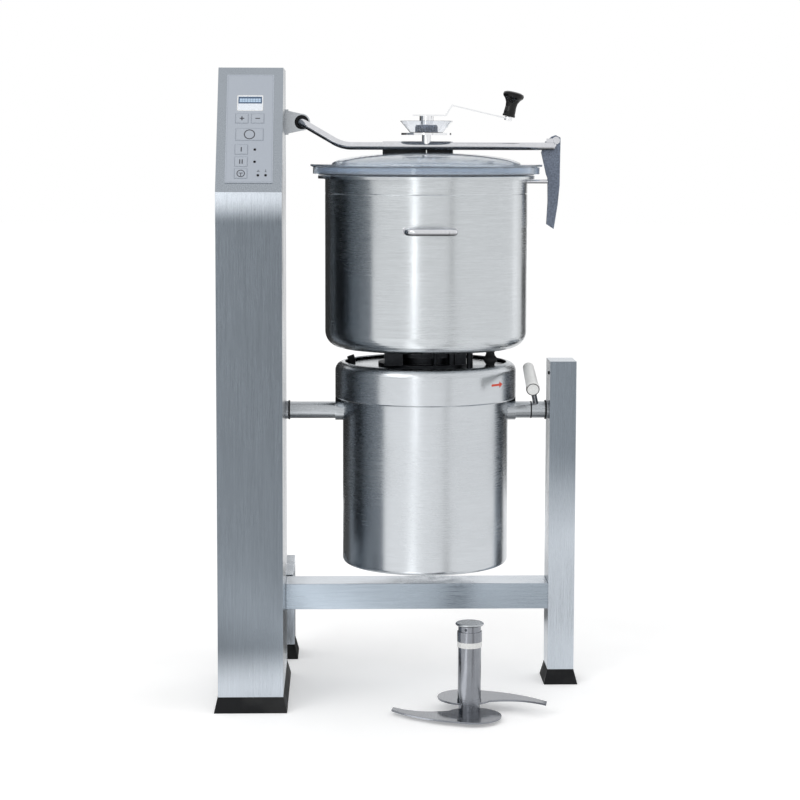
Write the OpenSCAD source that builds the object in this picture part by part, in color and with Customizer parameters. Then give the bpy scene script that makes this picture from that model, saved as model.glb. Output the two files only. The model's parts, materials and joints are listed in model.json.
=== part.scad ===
// Vertical cutter mixer: a tilting bowl and motor unit between a control column and a post, with a hinged
// clear lid, a hand-cranked lid wiper and a loose two-blade cutter that stands on the floor in front.
// Millimetres. +X to the operator's right, +Y away from the operator, +Z up. The origin lies on the floor
// under the middle of the column's foot.

/* [Column] */
// Width of the control column
column_w = 142; // [130:1:160]
// Depth of the control column, front to back
column_d = 340; // [320:5:380]
// Height of the column's flat top
column_top_z = 1400; // [1380:5:1440]
// Height of the sloped front below that top
slope_rise = 269; // [250:1:290]
// How far the sloped front leans back over its height
slope_run = 157; // [140:1:180]
// Sheet thickness of the column and its rear cover
sheet_t = 2; // [1.5:0.5:3]
// Width of the folded edge that the rear cover is screwed to
column_return = 16; // [12:1:22]

/* [Control panel] */
// Width of the control panel plate
panel_w = 102; // [96:1:110]
// Distance from the plate's upper edge to the top of the slope
panel_head = 19.5; // [15:0.5:34]
// Distance from the bend to the plate's lower edge
panel_foot = 22; // [18:1:26]
// Thickness of the control panel plate
panel_t = 2; // [1.5:0.5:3]
// Width of the display
display_w = 57; // [50:1:62]
// Height of the display along the slope
display_h = 39; // [34:1:42]
// Width of a small key
key_w = 26; // [22:1:28]
// Height of a small key along the slope
key_h = 22; // [18:1:23]
// Width of the stop key
stop_key_w = 58; // [50:1:62]
// Height of the stop key along the slope
stop_key_h = 28; // [24:1:30]
// How far a key stands out of the plate
key_proud = 0.8; // [0.6:0.1:1.2]
// How far a key travels when pressed
key_travel = 0.5; // [0.3:0.1:0.5]

/* [Frame] */
// Width of the right-hand post, and of the rear leg
post_w = 60; // [54:1:70]
// Depth of the post and of the cross beam
rail_d = 90; // [84:2:100]
// Height of the cross beam and of the rear beam
rail_h = 59; // [50:1:70]
// Wall of the post, the beams and the leg
tube_t = 2.5; // [2:0.5:4]
// Length of the cross beam between column and post
beam_l = 600; // [590:5:640]
// Height of the beams' underside above the floor
beam_z = 176; // [160:2:180]
// Height of the post's closed top
post_top_z = 745; // [735:5:780]
// Length of the rear beam behind the column
rear_beam_l = 146; // [120:2:180]
// Depth of the rear leg
rear_leg_d = 95; // [80:1:110]
// How far the rear leg stands out past the column's right side
rear_leg_out = 14; // [0:1:20]

/* [Feet] */
// Height of the rubber feet
foot_h = 34; // [28:1:40]
// How far a foot flares out past its tube at the floor
foot_flare = 9; // [5:1:12]
// Height of the plug that a foot pushes into its tube
foot_plug_h = 14; // [10:1:20]

/* [Trunnions and tilt lever] */
// Height of the tilting axis
trunnion_z = 630; // [620:1:650]
// Radius of the trunnion tubes
trunnion_r = 19; // [17:0.5:21]
// Wall of the trunnion tubes
trunnion_wall = 4; // [3:0.5:6]
// Distance from the column's middle to the bowl's axis, sideways
bowl_x = 390; // [384:1:396]
// Length of a bearing block along the tilting axis
bearing_l = 32; // [26:1:40]
// Side of the square left bearing block
bearing_side = 90; // [76:2:110]
// Length of the grip on the tilt lever
grip_l = 125; // [100:1:140]
// Radius of the grip at its free end
grip_r = 14.2; // [12:0.2:16]
// Radius of the tilt lever's rod
lever_rod_r = 6; // [5:0.5:7]

/* [Motor unit] */
// Radius of the motor can
can_r = 188.5; // [185:0.5:190]
// Height of the can's bottom
can_bottom_z = 281; // [275:1:300]
// Radius of the can's rounded bottom edge
can_corner_r = 10; // [3:1:45]
// Radius of the wide band round the top of the can
band_r = 206; // [200:1:212]
// Height of the band's lower edge
band_bottom_z = 660; // [656:1:670]
// Height of the band's top
band_top_z = 742; // [736:1:748]
// Radius of the band's rounded shoulder
band_shoulder_r = 20; // [14:1:26]
// Wall of the can and the band
shell_t = 2.5; // [2:0.5:3.5]
// Thickness of the deck that closes the can
deck_t = 6; // [5:1:10]
// Radius of the motor shaft
shaft_r = 15; // [13:0.5:17]
// Outer radius of the stator
stator_r = 145; // [130:1:150]
// Outer radius of the rotor
rotor_r = 79.4; // [70:0.2:85]
// Height of the stator's iron
stator_h = 200; // [160:5:220]

/* [Bowl] */
// Outer radius of the bowl
bowl_r = 229; // [226:0.5:232]
// Height of the bowl's underside
bowl_bottom_z = 776; // [772:1:786]
// Height of the bowl's rim
rim_z = 1164; // [1158:1:1168]
// How far the rim flange stands out past the bowl's wall
rim_out = 16; // [13:0.5:19]
// Wall of the bowl
bowl_t = 2; // [1.5:0.5:3]
// Thickness of the bowl's bottom
bowl_floor_t = 6; // [4:1:8]
// Outer radius of the bowl's rounded bottom edge
bowl_corner_r = 36; // [24:1:48]
// Distance of the pressed line below the rim
bead_drop = 40; // [30:1:50]
// Height of the hollow spigot in the middle of the bowl
spigot_h = 172; // [150:1:176]
// Outer radius of that spigot
spigot_r = 18; // [17:0.5:18.5]
// Length of a handle bar between its legs
handle_l = 100; // [90:1:120]
// Distance of a handle bar's middle from the bowl's wall
handle_out = 49; // [44:1:56]
// Radius of a handle bar
handle_r = 8; // [7:0.5:9]
// Height of the handles above the bowl's underside
handle_up = 270; // [240:1:290]
// Radius of the rod of the lid catch
catch_r = 4.3; // [3.5:0.1:5]
// Distance between the legs of the lid catch
catch_w = 40; // [34:1:50]

/* [Lid] */
// How far the lid's rim stands out past the bowl's rim flange
lid_over = 17; // [14:1:21]
// Height of the lid's rim above the bowl's rim
lid_rim_h = 25; // [22:1:28]
// Running gap between the bowl's rim and the lid's seal
lid_gap = 1.9; // [1.8:0.1:2.4]
// Thickness of the clear lid
lid_t = 4.5; // [4:0.5:5.5]
// Width of the flat ring between the dome and the lid's edge
lid_flat_w = 48; // [42:1:57]
// Rise of the dome above the lid's rim
dome_rise = 27; // [24:1:30]
// Height of the lid's hinge above the bowl's rim
pivot_up = 119.5; // [112:0.5:126]
// Distance from the column's side to the lid's hinge axis
pivot_out = 37; // [34:0.5:42]
// Radius of the arm's rod
arm_r = 8.75; // [8:0.25:9.5]
// Radius of the sleeve round the arm
sleeve_r = 10.8; // [10.6:0.1:12]
// Length of the sleeve to the left of the bowl's axis
sleeve_left = 99; // [80:1:120]
// Length of the sleeve to the right of the bowl's axis
sleeve_right = 60; // [40:1:80]
// Slope of the arm's first stretch, in degrees
arm_slope = 30; // [26:1:34]
// Radius of the bush in the bracket
bush_r = 16; // [14:0.5:17]
// Length of the bracket along the hinge axis
bracket_l = 40; // [30:1:46]

/* [Wiper and crank] */
// Radius of the crank, from the bowl's axis to the knob's foot
crank_r = 185; // [170:1:190]
// Radius of the wiper's shaft
wiper_shaft_r = 4; // [3.5:0.25:4.5]
// Distance from the tips of the wiper's arms to the dome's edge
wiper_clear = 18; // [14:1:54]
// Radius of the cup's rim
cup_r = 60; // [52:1:64]
// Height of the cup
cup_h = 27; // [24:1:30]
// Length of the knob
knob_l = 57; // [50:1:62]
// Radius of the knob's head
knob_r = 24; // [20:1:25]
// Lean of the knob away from the axis, in degrees
knob_lean = 13; // [8:1:16]

/* [Lock lever] */
// Length of the lock lever below its pin
lock_l = 201; // [180:1:210]
// Width of the lock lever's head
lock_w = 44; // [38:1:46]
// Thickness of the lock lever
lock_t = 10; // [8:0.5:12]
// Distance from the lid's rim to the lock lever's pin
lock_out = 32.5; // [30:0.5:38]
// Height of that pin above the arm
lock_up = 13.5; // [12.5:0.5:15]

/* [Blade set] */
// Place of the loose blade set to the right of the column's middle
blade_x = 475; // [440:5:500]
// Place of the loose blade set in front of the column's middle
blade_y = -199; // [-240:1:-195]
// Height of the blade set
hub_h = 205; // [200:1:215]
// Outer radius of the hub's sleeve
hub_r = 25; // [24:0.5:27]
// Radius of the cap on the hub
cap_r = 30.7; // [28:0.1:34]
// Reach of a blade from the hub's axis
blade_reach = 169; // [150:1:180]
// Radius of a blade's round root
blade_root_r = 62; // [54:1:68]
// Thickness of a blade
blade_t = 4; // [3:0.5:6]

/* [Clearances] */
// Radial running clearance of a shaft or pin in its bore
running = 0.06; // [0.04:0.01:0.09]
// Gap between pieces that pass each other
gap = 0.4; // [0.3:0.1:0.6]

/* [Hidden] */
$fn = 96;

// One overrun serves all cuts
cut = 1;

// Column and slope
front_y = -column_d / 2;
back_y = column_d / 2;
side_x = column_w / 2;
column_bend_z = column_top_z - slope_rise;
lean = atan(slope_run / slope_rise);
panel_l = norm([slope_run, slope_rise]) - panel_foot - panel_head;

// Rear cover, its screws and the cable gland
cover_margin = 6;
screw_r = 2.5;
screw_head_r = 5;
screw_head_h = 2.5;
screw_l = 12;
cover_screws = 5;
bolt_r = 4;
bolt_head_r = 7.5;
bolt_head_h = 5.5;
bolt_reach = 5;
bolt_inset = 9;
gland_z = 96;
gland_r = 13;
gland_bore_r = 6;
gland_nut_h = 8;
gland_dome_h = 16;
gland_thread_r = 10;

// Panel rows, as shares of the plate's length, and columns, as shares of its width
display_row_share = 0.733;
plus_row_share = 0.588;
stop_row_share = 0.44;
one_row_share = 0.3015;
two_row_share = 0.19;
pulse_row_share = 0.082;
lamp_row_share = 0.067;
key_column_share = 0.167;
run_lamp_share = 0.118;
small_lamp_shares = [0.192, 0.353];

// Keys, lamps and the board behind them
key_rim = 2;
key_rim_t = 1;
key_seat = 0.2;
plunger_r = 3;
plunger_l = 6.3;
switch_side = 6;
switch_h = 4.3;
switch_gap = 0.1;
lamp_r = 1.5;
lamp_proud = 0.3;
window_edge = 8;
board_t = 1.6;
standoff_r = 3;
board_edge = 1;
glass_recess = 0.4;
rim_back = -key_seat - key_rim_t;
switch_top = rim_back - plunger_l - key_travel - switch_gap;
board_top = switch_top - switch_h;

// Switchgear inside the column
rack_t = 2;
rack_drop = 441;
rack_z = column_bend_z - rack_drop;
rack_l = 300;
rack_w = 200;
contactor_w = 45;
contactor_h = 84;
contactor_d = 76;
contactor_gap = 12;
transformer_w = 96;
transformer_h = 88;
transformer_d = 80;

// Frame
axis_y = 110;
rail_y = axis_y - rail_d / 2;
post_x = side_x + beam_l;
rear_leg_x = side_x + rear_leg_out - post_w;
rear_leg_y = back_y + rear_beam_l;
beam_top_z = beam_z + rail_h;

// Trunnions
collar_l = 6;
collar_wall = 1.3;
ring_l = 4;
ring_proud = 1.6;
hole_ease = 0.2;
bearing_bore_r = trunnion_r + running;
collar_r = trunnion_r + collar_wall;
left_end_x = side_x - sheet_t - bearing_l;
right_end_x = post_x + tube_t + bearing_l;
boss_r = 23;
boss_l = 17.5;
wedge_l = 14;
wedge_w = 12;
tube_ring_back = 41;
tube_ring_x = post_x - tube_ring_back;
tube_ring_l = 3;
tube_ring_proud = 0.6;

// Tilt lever, from the trunnion's axis
lever_root_back = 25;
grip_x_back = 53;
lever_root_x = post_x - lever_root_back;
grip_x = post_x - grip_x_back;
grip_back_y = 80;
grip_back_up = 105;
grip_drop = 35;
lever_bend_r = 26;
lever_tail = 22;
grip_back_r = 12.4;
grip_ring_t = 5;
grip_ring_proud = 0.5;
grip_reach = sqrt(pow(grip_l, 2) - pow(grip_drop, 2));
grip_back = [grip_x, axis_y - grip_back_y, trunnion_z + grip_back_up];
grip_way = [0, -grip_reach, -grip_drop] / grip_l;
lever_elbow = grip_back - grip_way * lever_tail;

// Motor unit
arc_steps = 10;
deck_drop = 8;
deck_top_z = band_top_z - deck_drop;
deck_z = deck_top_z - deck_t;
band_mouth_r = 184;
band_roll = 3;
seal_r = 40;
seal_proud = 10;
spindle_r = 11;
spindle_step = 0.8;
stator_z = 366;
frame_wall = 5;
winding_h = 28;
winding_out_share = 0.9;
winding_in_share = 0.66;
shield_t = 12;
shield_gap = 8;
bearing_r = 31;
pillar_r = 8;
pillar_share = 0.78;
low_shield_z = stator_z - winding_h - shield_gap - shield_t;
top_shield_z = stator_z + stator_h + winding_h + shield_gap;
end_ring_h = 12;
end_ring_out_share = 0.88;
end_ring_in_share = 0.5;
fan_r = 118;
fan_h = 16;
fan_plate_t = 3;
fan_hub_r = 26;
fan_vanes = 9;
fan_drop = 6;
shaft_step_drop = 28;
shaft_step_z = deck_z - shaft_step_drop;
shaft_foot = 8;

// Bowl
rim_r = bowl_r + rim_out;
bead_depth = 0.8;
bead_h = 3;
flange_t = 3;
flange_lip = 7;
flange_lip_t = 2.5;
spigot_bore_r = 12.5;
spindle_proud = 30;
spigot_top_z = bowl_bottom_z + spigot_h;
spindle_top_z = spigot_top_z + spindle_proud;
handle_bend_r = 16;
catch_bend_r = 10;
catch_drop = 13;
root_in = 8;

// Clamp and rests between the deck and the bowl
clamp_space = bowl_bottom_z - deck_top_z;
clamp_base_r = 108;
clamp_base_h = 7;
clamp_neck_r = 78;
clamp_lug_r = 94;
clamp_lug_share = 0.55;
clamp_lug_h = 9;
clamp_bore_r = 44;
latch_x = [-96, -55];
latch_y = [-100, -68];
latch_top_gap = 3;
pin_places = [[18, -90], [55, -80]];
pin_rs = [5, 8];
strut_x = [62, 88];
strut_y = [-78, -74];
strut_post_x = 96;
strut_post_r = 7;
bumper_r = 16;
bumper_at_r = 169;
bumper_turns = [-33.4, 86.6];
bumper_outline_shares = [[0, 0], [0.82, 0], [0.82, 0.12], [0.56, 0.2], [0.75, 0.33], [1, 0.45], [1, 0.57],
    [0.69, 0.7], [0.56, 0.85], [0.75, 1], [0, 1]];
claw_r = 170;
claw_l = 20;
claw_h = 23;
claw_w = 26;

// Lid and its arm
pivot_x = side_x + pivot_out;
pivot_z = rim_z + pivot_up;
lid_rim_z = rim_z + lid_rim_h;
lid_r = rim_r + lid_over;
dome_r = lid_r - lid_flat_w;
dome_top_z = lid_rim_z + dome_rise;
pad_t = 3.5;
arm_z = dome_top_z + pad_t + sleeve_r;
dome_steps = 20;
rim_lip = 4;
rim_step = 5.5;
skirt_t = 5;
skirt_drop = 21;
rib_out = 5;
rib_r = bowl_r + rib_out;
rib_w = 12;
rib_drop = 19;
seal_inset = 2;
seal_w = 8;
elbow_r = 15;
arm_bend_r = 80;
bush_proud = 1;
bracket_front_y = axis_y + elbow_r + bush_proud + gap;
bracket_back_y = bracket_front_y + bracket_l;
bracket_plate_t = 7;
bracket_plate_h = 57;
nose_wall = 3;
keeper_r = 13;
keeper_t = 3;
arm_tip_back = 3;
arm_tip_edge = 3;
arm_corner_x = pivot_x + (pivot_z - arm_z) / tan(arm_slope);
lock_pin_x = bowl_x + lid_r + lock_out;
lock_pin_z = arm_z + lock_up;
arm_tip_x = lock_pin_x - arm_tip_back;
lug_t = 6;
lug_r = 8.5;
lug_l = 22;
lock_pin_r = 4;
lock_head_r = 6.4;
lock_head_t = 3;
lug_back_y = axis_y + arm_r;
lock_y = lug_back_y + gap;
lock_waist_share = 0.411;
lock_outline_shares = [[-0.2, 0.045], [-0.01, 0.06], [0.24, 0.032], [0.243, -0.02], [0.218, -0.507],
    [0.125, -0.725], [-0.068, -1], [-0.452, -0.945], [-0.39, -0.68], [-0.411, -0.422], [-0.484, -0.383],
    [-0.748, -0.134], [-0.55, -0.017]];
stop_at_shares = [-0.27, -0.148];
stop_r = 3.4;
catch_x = lock_pin_x - lock_waist_share * lock_w - gap - catch_r;
catch_z = rim_z - catch_drop;

// Hub on the lid, wiper and crank
tube_hole_r = 6.1;
hub_tube_r = 6;
hub_disc_r = 57;
hub_disc_t = 4.6;
hub_boss_r = 10;
hub_boss_h = 14;
hub_disc_z = arm_z + sleeve_r + hub_boss_h;
cup_z = hub_disc_z + hub_disc_t;
cup_foot_r = 37;
cup_t = 2;
nut_r = 24;
nut_rib_r = 1.6;
nut_ribs = 20;
nut_h = 16;
nut_top_z = cup_z + cup_t + nut_h;
low_nut_r = 14;
low_nut_h = 10;
dome_inner_z = dome_top_z - lid_t;
low_nut_seat_z = dome_z(low_nut_r, lid_rim_z - lid_t, dome_r - lid_t) - hole_ease / 2;
low_nut_z = low_nut_seat_z - low_nut_h;
hub_tube_foot = 1;
crank_collar_r = 15.7;
crank_collar_h = 20;
crank_bar_t = 3;
crank_bar_w = 13;
crank_tail = 31;
crank_step_in = 45;
crank_step_out = 59;
crank_step_up = 22;
crank_z = nut_top_z + gap + crank_collar_h;
crank_fall = (crank_r - crank_step_out) * tan(knob_lean);
crank_end_z = crank_z + crank_step_up - crank_fall;
crank_end_pad = 9;
spindle_pin_r = 3.5;
spindle_washer_r = 8;
spindle_washer_t = 3;
spindle_share = 0.7;
bar_knee_share = 1.2;
knob_outline_shares = [[0, 0], [0.58, 0], [0.6, 0.06], [0.55, 0.12], [0.55, 0.2], [0.52, 0.4], [0.56, 0.55],
    [0.72, 0.68], [0.95, 0.78], [1, 0.86], [0.93, 0.94], [0.7, 0.985], [0.4, 1], [0, 1]];
wiper_hub_r = 12;
wiper_hub_h = 22;
wiper_reach = dome_r - wiper_clear;
wiper_t = 5;
wiper_ease = 1.5;
wiper_rise = 11;
wiper_in_r = 20;
wiper_steps = 10;
wiper_top_z = low_nut_z - gap;

// Blade set
lower_hub_r = 23.3;
lower_blade_z = 8;
upper_blade_z = 26;
hub_step_h = 8;
ring_z = 152;
ring_h = 12;
ring_r_in = 22.5;
head_r = 26.8;
neck_r = 24.4;
neck_h = 13;
hub_lip = 1;
cap_t = 6;
cap_edge = 2;
hub_bore_ease = 1.3;
neck_hole_r = 3.2;
neck_hole_depth = 8;
neck_hole_turn = 23;
hub_top = hub_h - cap_t;
wide_bore_spare = 3;
wide_bore_h = spigot_h - bowl_floor_t + wide_bore_spare;
root_at_shares = [-0.03, 0.26];
outer_edge_shares = [[-0.03, 0.62], [0.62, 0.5], [1, -0.012]];
inner_edge_shares = [[0.976, -0.154], [0.66, 0.18], [0.2, 0.02]];
blade_steps = 10;

// Points on a quarter of an ellipse, from angle a0 to a1 in degrees
function arc(cx, cy, rx, ry, a0, a1, n = arc_steps) =
    [for (i = [0 : n]) let (a = a0 + (a1 - a0) * i / n) [cx + rx * cos(a), cy + ry * sin(a)]];
function unit(v) = v / norm(v);
function reverse(v) = [for (i = [len(v) - 1 : -1 : 0]) v[i]];
function bezier(p, t) = p[0] * pow(1 - t, 2) + p[1] * 2 * t * (1 - t) + p[2] * pow(t, 2);
function dome_z(r, base, radius) = base + dome_rise * sqrt(max(0, 1 - pow(r / radius, 2)));

module at_bowl() translate([bowl_x, axis_y, 0]) children();
module along_x() rotate([0, 90, 0]) children();
module along_y() rotate([-90, 0, 0]) children();
// Turns a drawing of Y across and Z up into a body that runs along +X
module profile_x(length) rotate([90, 0, 90]) linear_extrude(length) children();
// Turns a drawing of X across and Z up into a body centred on Y = 0
module profile_y(length) translate([0, length / 2, 0]) rotate([90, 0, 0]) linear_extrude(length) children();
module ring(outer, inner, h) difference() {
    cylinder(r = outer, h = h);
    translate([0, 0, -cut]) cylinder(r = inner, h = h + 2 * cut);
}
// The slope's own frame: X across, Y up the slope, Z out of it
module on_slope(u = 0, v = 0) translate([0, front_y, column_bend_z]) rotate([90 - lean, 0, 0])
    translate([u, v, 0]) children();
module plate(w, l, t) translate([-w / 2, -l / 2, 0]) cube([w, l, t]);

// A straight round rod between two points
module rod(a, b, r) {
    d = unit(b - a);
    x = unit(cross(abs(d.z) < 1 / 2 ? [0, 0, 1] : [1, 0, 0], d));
    y = cross(d, x);
    multmatrix([[x.x, y.x, d.x, a.x], [x.y, y.y, d.y, a.y], [x.z, y.z, d.z, a.z]])
        cylinder(r = r, h = norm(b - a));
}
// A bend that joins two stretches of rod round the corner p
module rod_bend(before, p, after, bend_r, r) {
    u = unit(p - before);
    v = unit(after - p);
    a = acos(u * v);
    n = (v - u * cos(a)) / sin(a);
    w = cross(-n, u);
    c = p - u * bend_r * tan(a / 2) + n * bend_r;
    multmatrix([[-n.x, u.x, w.x, c.x], [-n.y, u.y, w.y, c.y], [-n.z, u.z, w.z, c.z]])
        rotate_extrude(angle = a) translate([bend_r, 0]) circle(r);
}
// A rod along several points, bent at each corner to its own radius. The bends are a hair thicker than the
// straight stretches, which run a little way into them
bend_lap = 1;
bend_skin = 0.06;
module bent_rod(p, bends, r) {
    n = len(p);
    back = [for (i = [0 : n - 1]) i == 0 || i == n - 1 ? 0
        : bends[i - 1] * tan(acos(unit(p[i] - p[i - 1]) * unit(p[i + 1] - p[i])) / 2)];
    for (i = [0 : n - 2]) {
        d = unit(p[i + 1] - p[i]);
        rod(p[i] + d * (back[i] - (i > 0 ? bend_lap : 0)),
            p[i + 1] - d * (back[i + 1] - (i < n - 2 ? bend_lap : 0)), r);
    }
    for (i = [1 : n - 2]) rod_bend(p[i - 1], p[i], p[i + 1], bends[i - 1], r + bend_skin);
}

// Square tube standing on its foot, closed by the walls named
module upright_tube(w, d, z0, z1, lid_t) difference() {
    translate([0, 0, z0]) cube([w, d, z1 - z0]);
    translate([tube_t, tube_t, z0 - cut]) cube([w - 2 * tube_t, d - 2 * tube_t, z1 - z0 + cut - lid_t]);
}
// Rubber foot: a flared block with a plug that pushes into the tube above it
module foot(w, d, wall) {
    intersection() {
        profile_y(d + 4 * foot_flare) polygon([[-w / 2 - foot_flare, 0], [w / 2 + foot_flare, 0],
            [w / 2, foot_h], [-w / 2, foot_h]]);
        translate([-w, 0, 0]) profile_x(2 * w) polygon([[-d / 2 - foot_flare, 0], [d / 2 + foot_flare, 0],
            [d / 2, foot_h], [-d / 2, foot_h]]);
    }
    ease = wall + hole_ease;
    translate([0, 0, foot_h]) plate(w - 2 * ease, d - 2 * ease, foot_plug_h);
}

// Frame
module column_shell() color("lightsteelblue") difference() {
    shoulder = sheet_t * tan(lean / 2);
    top_shift = sheet_t * tan((90 - lean) / 2);
    translate([-side_x, 0, 0]) profile_x(column_w) polygon([[front_y, foot_h], [front_y, column_bend_z],
        [front_y + slope_run, column_top_z], [back_y, column_top_z], [back_y, foot_h]]);
    translate([-side_x + sheet_t, 0, 0]) profile_x(column_w - 2 * sheet_t) polygon([
        [front_y + sheet_t, foot_h - cut], [front_y + sheet_t, column_bend_z - shoulder],
        [front_y + slope_run + top_shift, column_top_z - sheet_t],
        [back_y - sheet_t, column_top_z - sheet_t], [back_y - sheet_t, foot_h - cut]]);
    translate([-side_x + column_return, back_y - sheet_t - cut, foot_h + column_return])
        cube([column_w - 2 * column_return, sheet_t + 2 * cut, column_top_z - foot_h - 2 * column_return]);
    on_slope(0, panel_foot + panel_l / 2) translate([0, 0, -sheet_t - cut])
        plate(panel_w - 2 * window_edge, panel_l - 2 * window_edge, sheet_t + 2 * cut);
    translate([side_x - sheet_t - cut, axis_y, trunnion_z]) along_x()
        cylinder(r = collar_r + hole_ease, h = sheet_t + 2 * cut);
    for (p = bracket_bolt_places()) translate([side_x - sheet_t - cut, p.x, p.y]) along_x()
        cylinder(r = bolt_r + hole_ease, h = sheet_t + 2 * cut);
    for (p = cover_screw_places()) translate([p.x, back_y - sheet_t - cut, p.y]) along_y()
        cylinder(r = screw_r, h = sheet_t + 2 * cut);
}
function bracket_bolt_places() = [for (y = [bracket_front_y + bolt_inset, bracket_back_y - bolt_inset],
    s = [-1, 1]) [y, pivot_z + s * (bracket_plate_h / 2 - bolt_inset)]];
function cover_screw_places() = let (low = foot_h + foot_plug_h + 2 * screw_head_r,
    high = column_top_z - column_return) [for (s = [-1, 1], i = [0 : cover_screws - 1])
        [s * (side_x - column_return / 2 - sheet_t / 2), low + (high - low) * i / (cover_screws - 1)]];

module rear_cover() color("silver") difference() {
    translate([-side_x + cover_margin, back_y, foot_h + cover_margin])
        cube([column_w - 2 * cover_margin, sheet_t, column_top_z - foot_h - 2 * cover_margin]);
    for (p = cover_screw_places()) translate([p.x, back_y - cut, p.y]) along_y()
        cylinder(r = screw_r, h = sheet_t + 2 * cut);
    translate([0, back_y - cut, gland_z]) along_y() cylinder(r = gland_thread_r, h = sheet_t + 2 * cut);
}
module frame_fasteners() color("gainsboro") {
    for (p = cover_screw_places()) translate([p.x, back_y + sheet_t, p.y]) {
        along_y() cylinder(r = screw_head_r, h = screw_head_h);
        translate([0, -screw_l, 0]) along_y() cylinder(r = screw_r, h = screw_l);
    }
    for (p = bracket_bolt_places()) translate([side_x - sheet_t, p.x, p.y]) {
        translate([-bolt_head_h, 0, 0]) along_x() cylinder(r = bolt_head_r, h = bolt_head_h, $fn = 6);
        along_x() cylinder(r = bolt_r, h = sheet_t + bolt_reach);
    }
}
module column_foot() color("dimgray") foot(column_w, column_d, sheet_t);
module tube_feet() color("dimgray") {
    translate([post_x + post_w / 2, axis_y, 0]) foot(post_w, rail_d, tube_t);
    translate([rear_leg_x + post_w / 2, rear_leg_y + rear_leg_d / 2, 0]) foot(post_w, rear_leg_d, tube_t);
}
module post() color("silver") difference() {
    translate([post_x, rail_y, 0]) upright_tube(post_w, rail_d, foot_h, post_top_z, tube_t);
    translate([post_x - cut, axis_y, trunnion_z]) along_x()
        cylinder(r = collar_r + hole_ease, h = tube_t + 2 * cut);
}
module beam(l) difference() {
    cube([l, rail_d, rail_h]);
    translate([-cut, tube_t, tube_t]) cube([l + 2 * cut, rail_d - 2 * tube_t, rail_h - 2 * tube_t]);
}
module cross_beam() color("silver") translate([side_x, rail_y, beam_z]) beam(beam_l);
module rear_beam() color("silver") difference() {
    translate([rear_leg_x, back_y + sheet_t, beam_z]) cube([post_w, rear_beam_l - sheet_t, rail_h]);
    translate([rear_leg_x + tube_t, back_y - cut, beam_z + tube_t])
        cube([post_w - 2 * tube_t, rear_beam_l + 2 * cut, rail_h - 2 * tube_t]);
}
module rear_leg() color("silver") translate([rear_leg_x, rear_leg_y, 0])
    upright_tube(post_w, rear_leg_d, foot_h, beam_top_z, tube_t);

module trunnion_bearings() color("slategray") {
    // Left block, on the inside of the column's wall, with a collar that reaches out through it
    difference() {
        union() {
            translate([left_end_x, axis_y - bearing_side / 2, trunnion_z - bearing_side / 2])
                cube([bearing_l, bearing_side, bearing_side]);
            translate([left_end_x + bearing_l, axis_y, trunnion_z]) along_x()
                cylinder(r = collar_r, h = sheet_t + collar_l);
        }
        translate([left_end_x - cut, axis_y, trunnion_z]) along_x()
            cylinder(r = bearing_bore_r, h = bearing_l + sheet_t + collar_l + 2 * cut);
    }
    // Right block, which fills the post
    difference() {
        inner_d = rail_d - 2 * tube_t;
        union() {
            translate([post_x + tube_t, axis_y - inner_d / 2, trunnion_z - inner_d / 2])
                cube([bearing_l, inner_d, inner_d]);
            translate([post_x - ring_l, axis_y, trunnion_z]) along_x()
                cylinder(r = collar_r, h = tube_t + ring_l);
        }
        translate([post_x - ring_l - cut, axis_y, trunnion_z]) along_x()
            cylinder(r = bearing_bore_r, h = bearing_l + tube_t + ring_l + 2 * cut);
    }
}
module trunnion_rings() color("black") {
    translate([side_x + collar_l, axis_y, trunnion_z]) along_x()
        ring(collar_r + ring_proud, trunnion_r + gap, ring_l);
    translate([post_x - 2 * ring_l, axis_y, trunnion_z]) along_x()
        ring(collar_r + ring_proud, trunnion_r + gap, ring_l);
}
module cable_gland() color("dimgray") translate([0, back_y, gland_z]) along_y() difference() {
    union() {
        translate([0, 0, -gland_nut_h]) cylinder(r = gland_r, h = gland_nut_h, $fn = 6);
        cylinder(r = gland_thread_r, h = sheet_t + cut);
        translate([0, 0, sheet_t]) cylinder(r = gland_r, h = gland_nut_h, $fn = 6);
        translate([0, 0, sheet_t + gland_nut_h]) cylinder(r1 = gland_thread_r + sheet_t,
            r2 = gland_bore_r + sheet_t, h = gland_dome_h - gland_nut_h, $fn = 48);
    }
    translate([0, 0, -gland_nut_h - cut])
        cylinder(r = gland_bore_r, h = gland_nut_h + gland_dome_h + sheet_t + 2 * cut);
}

// Control panel
function row(share) = panel_foot + share * panel_l;
lamp_places = concat([for (s = [one_row_share, two_row_share]) [run_lamp_share * panel_w, row(s)]],
    [for (s = small_lamp_shares) [s * panel_w, row(lamp_row_share)]]);
// Each key: place across, place up the slope, width, height
KEYS = [
    [key_column_share * panel_w, row(plus_row_share), key_w, key_h],
    [-key_column_share * panel_w, row(plus_row_share), key_w, key_h],
    [0, row(stop_row_share), stop_key_w, stop_key_h],
    [-key_column_share * panel_w, row(one_row_share), key_w, key_h],
    [-key_column_share * panel_w, row(two_row_share), key_w, key_h],
    [-key_column_share * panel_w, row(pulse_row_share), key_w, key_h]];

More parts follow.
